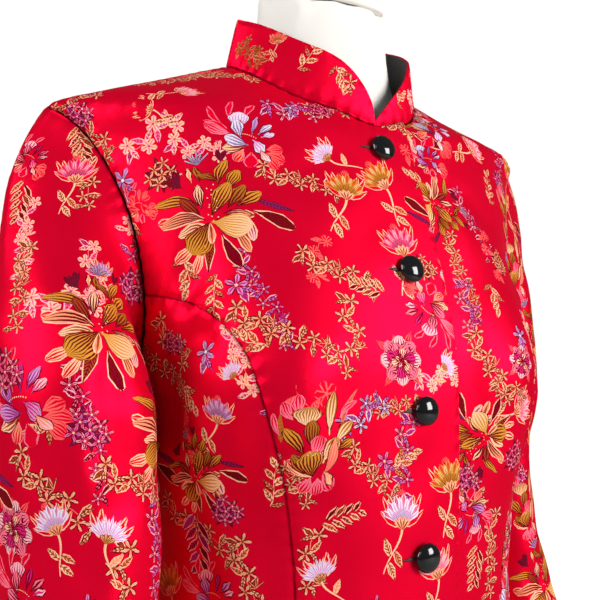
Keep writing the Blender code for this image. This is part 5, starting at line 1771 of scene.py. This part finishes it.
def brocade_material(ground, shade):
    """Scarlet satin with coloured silk threads where the pattern is, and painted shade along the sewn
    seams.
    """
    material, tree, shader = new_material("scarlet_brocade")
    edge, body, line, stitch, form, seam = (
        node(tree, "ShaderNodeAttribute", attribute_name=name)
        for name in ("edge", "body", "line", "stitch", "form", "seam"))
    threads = node(tree, "ShaderNodeGroup", node_tree=thread_group())
    link(tree, stitch.outputs["Vector"], threads.inputs["Stitch"])
    link(tree, form.outputs["Vector"], threads.inputs["Form"])
    link(tree, edge.outputs["Alpha"], threads.inputs["Worn"])
    threads.inputs["Border"].default_value = 0.62
    satin = satin_on(tree, 1500)
    base = blend_colours(tree, satin.outputs["Unevenness"], (*shade, 1.0), (*ground, 1.0))
    drawn = maths(tree, "MULTIPLY", threads.outputs["Lines"], line.outputs["Alpha"])
    colour = blend_colours(tree, body.outputs["Alpha"], base, body.outputs["Color"])
    colour = blend_colours(tree, drawn, colour, line.outputs["Color"])
    colour = blend_colours(tree, threads.outputs["Edge"], colour, edge.outputs["Color"])
    glint = maths(tree, "MULTIPLY_ADD", satin.outputs["Glint"], 1.5, -0.35)
    glint.node.use_clamp = True
    tight = maths(tree, "MULTIPLY", threads.outputs["Shape"],
                  maths(tree, "MULTIPLY_ADD", glint, 0.3, 0.7))
    colour = blend_colours(tree, tight, base, colour)
    # Painted shade: the colour is darkened almost to black along the sewn seams, standing for the
    # shadow in the seam groove
    deep = maths(tree, "MULTIPLY", seam.outputs["Fac"], 0.92)
    colour = blend_colours(tree, deep, colour, (0.05, 0.0, 0.004, 1.0))
    link(tree, colour, shader.inputs["Base Color"])
    rough = maths(tree, "MULTIPLY_ADD", threads.outputs["Shape"], 0.14, 0.36)
    link(tree, rough, shader.inputs["Roughness"])
    link(tree, maths(tree, "MULTIPLY_ADD", threads.outputs["Shape"], -0.30, 0.42),
         shader.inputs["Metallic"])
    shader.inputs["Specular IOR Level"].default_value = 0.015
    shader.inputs["Specular Tint"].default_value = (1.0, 0.30, 0.40, 1.0)
    shader.inputs["Sheen Weight"].default_value = 0.05
    shader.inputs["Sheen Roughness"].default_value = 0.4
    shader.inputs["Sheen Tint"].default_value = (1.0, 0.01, 0.08, 1.0)
    height = maths(tree, "MULTIPLY_ADD", satin.outputs["Height"], 0.08, threads.outputs["Height"])
    height = maths(tree, "MULTIPLY_ADD", glint, 0.25, height)
    bumped(tree, shader, height, 0.4, 0.00022)
    return material


def lining_material(colour):
    """Black lining satin."""
    material, tree, shader = new_material("black_lining")
    satin = satin_on(tree, 2200)
    light = tuple(min(1.0, 2.2 * c + 0.004) for c in colour)
    tone = blend_colours(tree, satin.outputs["Unevenness"], (*colour, 1.0), (*light, 1.0))
    link(tree, tone, shader.inputs["Base Color"])
    shader.inputs["Roughness"].default_value = 0.42
    shader.inputs["Sheen Weight"].default_value = 0.15
    bumped(tree, shader, satin.outputs["Height"], 0.25, 0.0001)
    return material


def grained_material(name, colour, spread_to, roughness, scale, depth, metallic=0.0):
    """A finish with a little noise in its colour, gloss and surface."""
    material, tree, shader = new_material(name)
    place = node(tree, "ShaderNodeTexCoord")
    noise = node(tree, "ShaderNodeTexNoise")
    noise.inputs["Scale"].default_value = scale
    noise.inputs["Detail"].default_value = 4
    link(tree, place.outputs["Object"], noise.inputs["Vector"])
    tone = blend_colours(tree, noise.outputs[0], (*colour, 1.0), (*spread_to, 1.0))
    link(tree, tone, shader.inputs["Base Color"])
    link(tree, maths(tree, "MULTIPLY_ADD", noise.outputs[0], 0.08, roughness - 0.04),
         shader.inputs["Roughness"])
    shader.inputs["Metallic"].default_value = metallic
    bumped(tree, shader, noise.outputs[0], 0.3, depth)
    return material


def material_for(name):
    """The finish of that name, made once."""
    if name in bpy.data.materials:
        return bpy.data.materials[name]
    colours = bpy.context.scene.tang_colours
    if name == "scarlet_brocade":
        return brocade_material(tuple(colours.ground), tuple(colours.ground_shade))
    if name == "black_lining":
        return lining_material(tuple(colours.lining))
    grained = {
        "black_button": (tuple(colours.button), (0.010, 0.010, 0.012), 0.09, 900, 0.00005),
        # Buttonhole thread darkened almost to black: thread colour plus painted shade standing for the
        # shadow in the buttonhole's slit
        "buttonhole_thread": ((0.060, 0.002, 0.008), (0.020, 0.001, 0.004), 0.6, 2600, 0.0003),
        "form_shell": (tuple(colours.form), (0.90, 0.89, 0.87), 0.46, 320, 0.0001),
        "stand_steel": ((0.62, 0.62, 0.63), (0.52, 0.52, 0.53), 0.30, 500, 0.00003, 1.0),
        "studio_floor": (tuple(colours.backdrop), tuple(colours.backdrop), 0.8, 30, 0.0001),
    }
    finish = grained_material(name, *grained[name])
    if name == "studio_floor":
        tree = finish.node_tree
        glow = tree.nodes["Principled BSDF"]
        glow.inputs["Emission Color"].default_value = PAPER_WHITE
        seen = node(tree, "ShaderNodeLightPath")
        link(tree, seen.outputs["Is Camera Ray"], glow.inputs["Emission Strength"])
    return finish


# Hard pieces, modelled with the edit operators

CLEAR = 0.02                   # how far off the cloth a place on it is looked for from
BUTTONHOLE_OFFSET = -0.0065    # a buttonhole's middle from the centre front
BUTTONHOLE_WIDTH = 0.0024
BUTTONHOLE_HEIGHT = 0.0028
BUTTONHOLE_LIFT = 0.0002
BUTTON_EDGE = 0.0030           # how high a button's rim stands above the cloth
SHANK_RADIUS = 0.0032
SHANK_LENGTH = 0.0021
SHANK_MIDDLE = 0.00135
BASE_EDGE = 0.008              # how thick the base is at its rim
POLE_BEVEL = 0.0008


def only(thing):
    """Make one object the only selected and active one."""
    bpy.ops.object.select_all(action="DESELECT")
    thing.select_set(True)
    bpy.context.view_layer.objects.active = thing


def select_points(thing, test):
    """Select a mesh's points by a test of their place, from edit mode."""
    mesh = bmesh.from_edit_mesh(thing.data)
    for face in mesh.faces:
        face.select = False
    for edge in mesh.edges:
        edge.select = False
    for point in mesh.verts:
        point.select = bool(test(point.co))
    mesh.select_flush_mode()
    bmesh.update_edit_mesh(thing.data)


def ready(thing, name, body_node, finish):
    """A finished hard piece: named, smooth, with its material and its place in the frame."""
    thing.name = thing.data.name = name
    thing.data.materials.clear()
    thing.data.materials.append(material_for(finish))
    only(thing)
    bpy.ops.object.shade_smooth_by_angle(angle=math.radians(38))
    for modifier in list(thing.modifiers):
        bpy.ops.object.modifier_apply(modifier=modifier.name)
    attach(thing, "root")
    if body_node:
        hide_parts(body_node)
    return thing


def turned_to(place, facing, along=(1, 0, 0)):
    """The matrix that stands a piece on a place of the cloth."""
    up = Vector(facing)
    across = (Vector(along) - up * up.dot(Vector(along))).normalized()
    matrix = Matrix((across, up.cross(across), up)).transposed().to_4x4()
    matrix.translation = Vector(place) + Vector((0, 0, NECK_POINT_HEIGHT))
    return matrix


def on_cloth(place, facing):
    """The matrix that stands a piece on the right front where it really lies."""
    matrix = turned_to(place, facing)
    up = Vector(facing)
    front = bpy.data.objects["right_front_brocade"]
    found, spot, normal, _ = front.ray_cast(matrix.translation + up * CLEAR, -up)
    if not found:
        raise RuntimeError("no cloth under a buttonhole")
    return turned_to(spot - Vector((0, 0, NECK_POINT_HEIGHT)), normal)


def domed_button(radius, height):
    """One button at the origin: a dome with a rolled rim over a short shank."""
    bpy.ops.object.select_all(action="DESELECT")
    bpy.ops.mesh.primitive_uv_sphere_add(segments=48, ring_count=24, radius=radius)
    thing = bpy.context.object
    bpy.ops.object.mode_set(mode="EDIT")
    select_points(thing, lambda co: co.z < -0.02 * radius)
    bpy.ops.transform.resize(value=(1, 1, 0.13), center_override=(0, 0, 0))
    select_points(thing, lambda co: co.z > 0.02 * radius)
    bpy.ops.transform.resize(value=(1, 1, (height - BUTTON_EDGE) / radius),
                             center_override=(0, 0, 0))
    select_points(thing, lambda co: True)
    bpy.ops.transform.translate(value=(0, 0, BUTTON_EDGE))
    bpy.ops.object.mode_set(mode="OBJECT")
    bpy.ops.object.select_all(action="DESELECT")
    bpy.ops.mesh.primitive_cylinder_add(vertices=24, radius=SHANK_RADIUS, depth=SHANK_LENGTH,
                                        location=(0, 0, SHANK_MIDDLE))
    thing.select_set(True)
    bpy.context.view_layer.objects.active = thing
    bpy.ops.object.join()
    return thing


def copy_of(thing, name, matrix):
    """A copy with its own mesh, carried to its place."""
    mesh = thing.data.copy()
    mesh.transform(matrix)
    copied = bpy.data.objects.new(name, mesh)
    bpy.context.scene.collection.objects.link(copied)
    return copied


def smooth_copy(node_name, name, levels):
    """A CAD node's copy, merged, with its triangles paired and its sides rounded."""
    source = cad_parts[node_name]
    thing = bpy.data.objects.new(name, source.data.copy())
    thing.matrix_world = source.matrix_world.copy()
    bpy.context.scene.collection.objects.link(thing)
    only(thing)
    bpy.ops.object.mode_set(mode="EDIT")
    bpy.ops.mesh.select_all(action="SELECT")
    bpy.ops.mesh.remove_doubles(threshold=0.00002)
    bpy.ops.mesh.tris_convert_to_quads(face_threshold=math.radians(30),
                                       shape_threshold=math.radians(60))
    bpy.ops.mesh.normals_make_consistent(inside=False)
    bpy.ops.object.mode_set(mode="OBJECT")
    rounder = thing.modifiers.new("round", "SUBSURF")
    rounder.levels = rounder.render_levels = levels
    bpy.ops.object.modifier_apply(modifier=rounder.name)
    bpy.ops.object.transform_apply(location=True, rotation=True, scale=True)
    return thing


def cylinder(vertices, radius, low, high):
    """A new upright cylinder between two heights, opened in edit mode."""
    bpy.ops.object.select_all(action="DESELECT")
    bpy.ops.mesh.primitive_cylinder_add(vertices=vertices, radius=radius, depth=high - low,
                                        location=(0, 0, (high + low) / 2))
    bpy.ops.object.transform_apply(location=True)
    bpy.ops.object.mode_set(mode="EDIT")
    return bpy.context.object


# The add-on

class TangSizes(bpy.types.PropertyGroup):
    """Sizes that a user would change."""
    button_radius: FloatProperty(
        name="Button radius", description="Half the width of each domed button", default=0.0093,
        min=0.004, max=0.012, unit="LENGTH")
    button_height: FloatProperty(
        name="Button height", description="Height of the dome's top above the cloth",
        default=0.0076, min=0.005, max=0.009, unit="LENGTH")
    buttonhole_length: FloatProperty(
        name="Buttonhole length", description="Length of each worked buttonhole", default=0.0200,
        min=0.010, max=0.030, unit="LENGTH")
    pattern_shift: IntProperty(
        name="Pattern shift", description="How far the woven repeat is moved up the cloth, in mm",
        default=0, min=0, max=REPEAT_HEIGHT)


class TangColours(bpy.types.PropertyGroup):
    """Colours that a user would change."""
    ground: FloatVectorProperty(
        name="Satin", description="Colour of the satin ground", subtype="COLOR", size=3, min=0,
        max=1, default=(0.80, 0.002, 0.030))
    ground_shade: FloatVectorProperty(
        name="Satin shade", description="Deeper colour in the satin's unevenness",
        subtype="COLOR", size=3, min=0, max=1, default=(0.70, 0.001, 0.022))
    lining: FloatVectorProperty(
        name="Lining", description="Colour of the lining", subtype="COLOR", size=3, min=0, max=1,
        default=(0.008, 0.008, 0.010))
    button: FloatVectorProperty(
        name="Buttons", description="Colour of the buttons", subtype="COLOR", size=3, min=0,
        max=1, default=(0.004, 0.004, 0.005))
    form: FloatVectorProperty(
        name="Dress form", description="Colour of the form's shell", subtype="COLOR", size=3,
        min=0, max=1, default=(0.94, 0.93, 0.90))
    backdrop: FloatVectorProperty(
        name="Floor", description="Colour of the studio floor", subtype="COLOR", size=3, min=0,
        max=1, default=(0.40, 0.39, 0.38))


def sew(panel, shift):
    """A panel made into its piece of brocade."""
    finishes = (material_for("scarlet_brocade"), material_for("black_lining"))
    thing = sewn_panel(panel, finishes, motif_shapes(panel, shift))
    declare(thing, panel.name, panel)


class TANG_OT_fronts(bpy.types.Operator):
    """Build the two centre fronts, the right one lapped over the left."""
    bl_idname = "tang.fronts"
    bl_label = "Fronts"

    def execute(self, context):
        shift = context.scene.tang_sizes.pattern_shift
        seams = ("right", "top")
        grid = front_grid()
        sew(body_panel("right_front", grid, seams, seams, right=True),
            (10, shift))
        sew(body_panel("left_front", grid, seams, seams, under=True),
            (60, shift + 70))
        return {"FINISHED"}


class TANG_OT_side_fronts(bpy.types.Operator):
    """Build the side fronts that meet the fronts in princess seams."""
    bl_idname = "tang.side_fronts"
    bl_label = "Side fronts"

    def execute(self, context):
        shift = context.scene.tang_sizes.pattern_shift
        seams = ("left", "right", "top")
        grid = side_grid()
        sew(body_panel("right_side_front", grid, seams, seams, right=True),
            (80, shift + 40))
        sew(body_panel("left_side_front", grid, seams, seams),
            (20, shift + 120))
        return {"FINISHED"}


class TANG_OT_back(bpy.types.Operator):
    """Build the back."""
    bl_idname = "tang.back"
    bl_label = "Back"

    def execute(self, context):
        seams = ("left", "right", "top")
        sew(body_panel("back", back_grid(), seams, seams),
            (0, context.scene.tang_sizes.pattern_shift))
        return {"FINISHED"}


class TANG_OT_sleeves(bpy.types.Operator):
    """Build the two set-in sleeves."""
    bl_idname = "tang.sleeves"
    bl_label = "Sleeves"

    def execute(self, context):
        shift = context.scene.tang_sizes.pattern_shift
        sew(sleeve_panel("right_sleeve"), (40, shift + 60))
        sew(sleeve_panel("left_sleeve"), (100, shift + 15))
        return {"FINISHED"}


class TANG_OT_collar(bpy.types.Operator):
    """Build the standing collar and its lining."""
    bl_idname = "tang.collar"
    bl_label = "Collar"

    def execute(self, context):
        band, lining = collar_panels()
        sew(band, (30, context.scene.tang_sizes.pattern_shift + 90))
        black = material_for("black_lining")
        thing = sewn_panel(lining, (black, black), [])
        declare(thing, "collar_lining", lining)
        return {"FINISHED"}


class TANG_OT_buttons(bpy.types.Operator):
    """Build the six domed buttons and their worked buttonholes."""
    bl_idname = "tang.buttons"
    bl_label = "Buttons"

    def execute(self, context):
        sizes = context.scene.tang_sizes
        places, facing = button_places()
        button = domed_button(sizes.button_radius, sizes.button_height)
        bpy.ops.object.select_all(action="DESELECT")
        bpy.ops.mesh.primitive_torus_add(major_segments=48, minor_segments=8, major_radius=0.3,
                                         minor_radius=0.25)
        ring = bpy.context.object
        bpy.ops.object.mode_set(mode="EDIT")
        select_points(ring, lambda co: True)
        bpy.ops.transform.resize(
            value=(sizes.buttonhole_length, BUTTONHOLE_WIDTH, BUTTONHOLE_HEIGHT),
            center_override=(0, 0, 0))
        bpy.ops.transform.translate(value=(0, 0, BUTTONHOLE_LIFT))
        bpy.ops.object.mode_set(mode="OBJECT")
        for k, (place, up) in enumerate(zip(places, facing)):
            copied = copy_of(button, f"button_{k + 1}_dome", turned_to(place, up))
            ready(copied, f"button_{k + 1}_dome", f"button_{k + 1}", "black_button")
            spot = front_point(BUTTONHOLE_OFFSET, -place[2])
            hole = copy_of(ring, f"buttonhole_{k + 1}", on_cloth(spot, outward(spot)))
            # The worked buttonhole is given a near-black finish, painted shade for its slit
            ready(hole, f"buttonhole_{k + 1}", None, "buttonhole_thread")
        bpy.data.objects.remove(button)
        bpy.data.objects.remove(ring)
        return {"FINISHED"}


class TANG_OT_form(bpy.types.Operator):
    """Build the dress form, its neck cap, pole and base."""
    bl_idname = "tang.form"
    bl_label = "Dress form"

    def execute(self, context):
        for name, levels in (("form_torso", 1), ("neck_cap", 2)):
            ready(smooth_copy(name, name + "_shell", levels), name + "_shell", name,
                  "form_shell")
        low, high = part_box("stand_base")
        base = cylinder(96, high[0], 0, BASE_EDGE)
        bpy.ops.mesh.select_mode(type="FACE")
        mesh = bmesh.from_edit_mesh(base.data)
        for face in mesh.faces:
            face.select = face.normal.z > 0.9
        bmesh.update_edit_mesh(base.data)
        rise = high[2] - BASE_EDGE
        for inset, lift in ((0.004, 0.0016), (0.046, 0.56 * rise), (0.062, 0.30 * rise)):
            bpy.ops.mesh.inset(thickness=inset)
            bpy.ops.transform.translate(value=(0, 0, lift))
        bpy.ops.object.mode_set(mode="OBJECT")
        ready(base, "base_plate", "stand_base", "stand_steel")
        low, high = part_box("stand_pole")
        pole = cylinder(64, high[0], low[2], high[2])
        bpy.ops.mesh.select_all(action="SELECT")
        bpy.ops.mesh.bevel(offset=POLE_BEVEL, segments=2)
        bpy.ops.object.mode_set(mode="OBJECT")
        ready(pole, "pole_tube", "stand_pole", "stand_steel")
        return {"FINISHED"}


CAMERA_PLACE = (-0.29988, -0.48701, 0.63638)
CAMERA_AZIMUTH = -29.86
CAMERA_ELEVATION = -3.77
CAMERA_ROLL = -0.81
CAMERA_LENS = 44.07
LIGHTS = (("right window", (1.35, -2.20, 1.25), (1.0, 1.3), 80),
          ("left window", (-2.2, -0.10, 1.50), (1.0, 1.3), 44),
          ("small window", (-1.35, -1.05, 1.50), (0.45, 0.60), 2.5),
          ("back window", (0.7, 2.4, 1.0), (1.4, 1.2), 18))
LIGHT_TARGET = (0.0, 0.0, 0.66)
LIGHT_COLOUR = (1.0, 0.99, 0.97)


def add_light(name, place, size, power):
    """A soft oblong lamp aimed at the jacket."""
    lamp = bpy.data.lights.new(name, "AREA")
    lamp.shape, lamp.size, lamp.size_y = "RECTANGLE", size[0], size[1]
    lamp.energy, lamp.color = power, LIGHT_COLOUR
    thing = bpy.data.objects.new(name, lamp)
    thing.location = place
    aim = Vector(LIGHT_TARGET) - Vector(place)
    thing.rotation_euler = aim.to_track_quat("-Z", "Y").to_euler()
    bpy.context.scene.collection.objects.link(thing)


class TANG_OT_studio(bpy.types.Operator):
    """Build the floor, the lights, the surrounding white and the camera."""
    bl_idname = "tang.studio"
    bl_label = "Studio"

    def execute(self, context):
        bpy.ops.object.select_all(action="DESELECT")
        bpy.ops.mesh.primitive_plane_add(size=120, location=(0, 0, -0.0004))
        floor = bpy.context.object
        floor.name = "floor"
        floor.data.materials.append(material_for("studio_floor"))
        world = bpy.data.worlds.new("studio")
        world.use_nodes = True
        tree = world.node_tree
        paper = tree.nodes["Background"]
        paper.inputs[0].default_value = PAPER_WHITE
        seen = node(tree, "ShaderNodeLightPath")
        bright = maths(tree, "MULTIPLY_ADD", seen.outputs["Is Camera Ray"], 0.93, 0.11)
        link(tree, bright, paper.inputs[1])
        context.scene.world = world
        context.scene.view_settings.view_transform = "Standard"
        for light in LIGHTS:
            add_light(*light)
        data = bpy.data.cameras.new("view")
        data.lens, data.sensor_width = CAMERA_LENS, 36.0
        data.clip_start = 0.01
        camera = bpy.data.objects.new("view", data)
        a, e, r = (math.radians(v) for v in (CAMERA_AZIMUTH, CAMERA_ELEVATION, CAMERA_ROLL))
        back = Vector((math.sin(a) * math.cos(e), -math.cos(a) * math.cos(e), math.sin(e)))
        across = (-back).cross(Vector((0, 0, 1))).normalized()
        up = across.cross(-back)
        turned = across * math.cos(r) + up * math.sin(r)
        risen = up * math.cos(r) - across * math.sin(r)
        matrix = Matrix((turned, risen, back)).transposed().to_4x4()
        matrix.translation = Vector(CAMERA_PLACE)
        camera.matrix_world = matrix
        context.scene.collection.objects.link(camera)
        context.scene.camera = camera
        return {"FINISHED"}


class TANG_PT_panel(bpy.types.Panel):
    """Sizes, colours and pieces of the jacket."""
    bl_idname = "TANG_PT_panel"
    bl_label = "Tang Jacket"
    bl_space_type = "VIEW_3D"
    bl_region_type = "UI"
    bl_category = "Tang Jacket"

    def draw(self, context):
        for group in (context.scene.tang_sizes, context.scene.tang_colours):
            for name in group.__annotations__:
                self.layout.prop(group, name)
        for operator in OPERATORS:
            self.layout.operator(operator.bl_idname)


OPERATORS = (TANG_OT_fronts, TANG_OT_side_fronts, TANG_OT_back, TANG_OT_sleeves, TANG_OT_collar,
             TANG_OT_buttons, TANG_OT_form, TANG_OT_studio)
CLASSES = (TangSizes, TangColours, *OPERATORS, TANG_PT_panel)


def register():
    for cls in CLASSES:
        bpy.utils.register_class(cls)
    bpy.types.Scene.tang_sizes = PointerProperty(type=TangSizes)
    bpy.types.Scene.tang_colours = PointerProperty(type=TangColours)


def unregister():
    del bpy.types.Scene.tang_colours
    del bpy.types.Scene.tang_sizes
    for cls in reversed(CLASSES):
        bpy.utils.unregister_class(cls)


def main():
    register()
    bpy.ops.tang.fronts()
    bpy.ops.tang.side_fronts()
    bpy.ops.tang.back()
    bpy.ops.tang.sleeves()
    bpy.ops.tang.collar()
    bpy.ops.tang.buttons()
    bpy.ops.tang.form()
    bpy.ops.tang.studio()


if __name__ == "__main__":
    main()
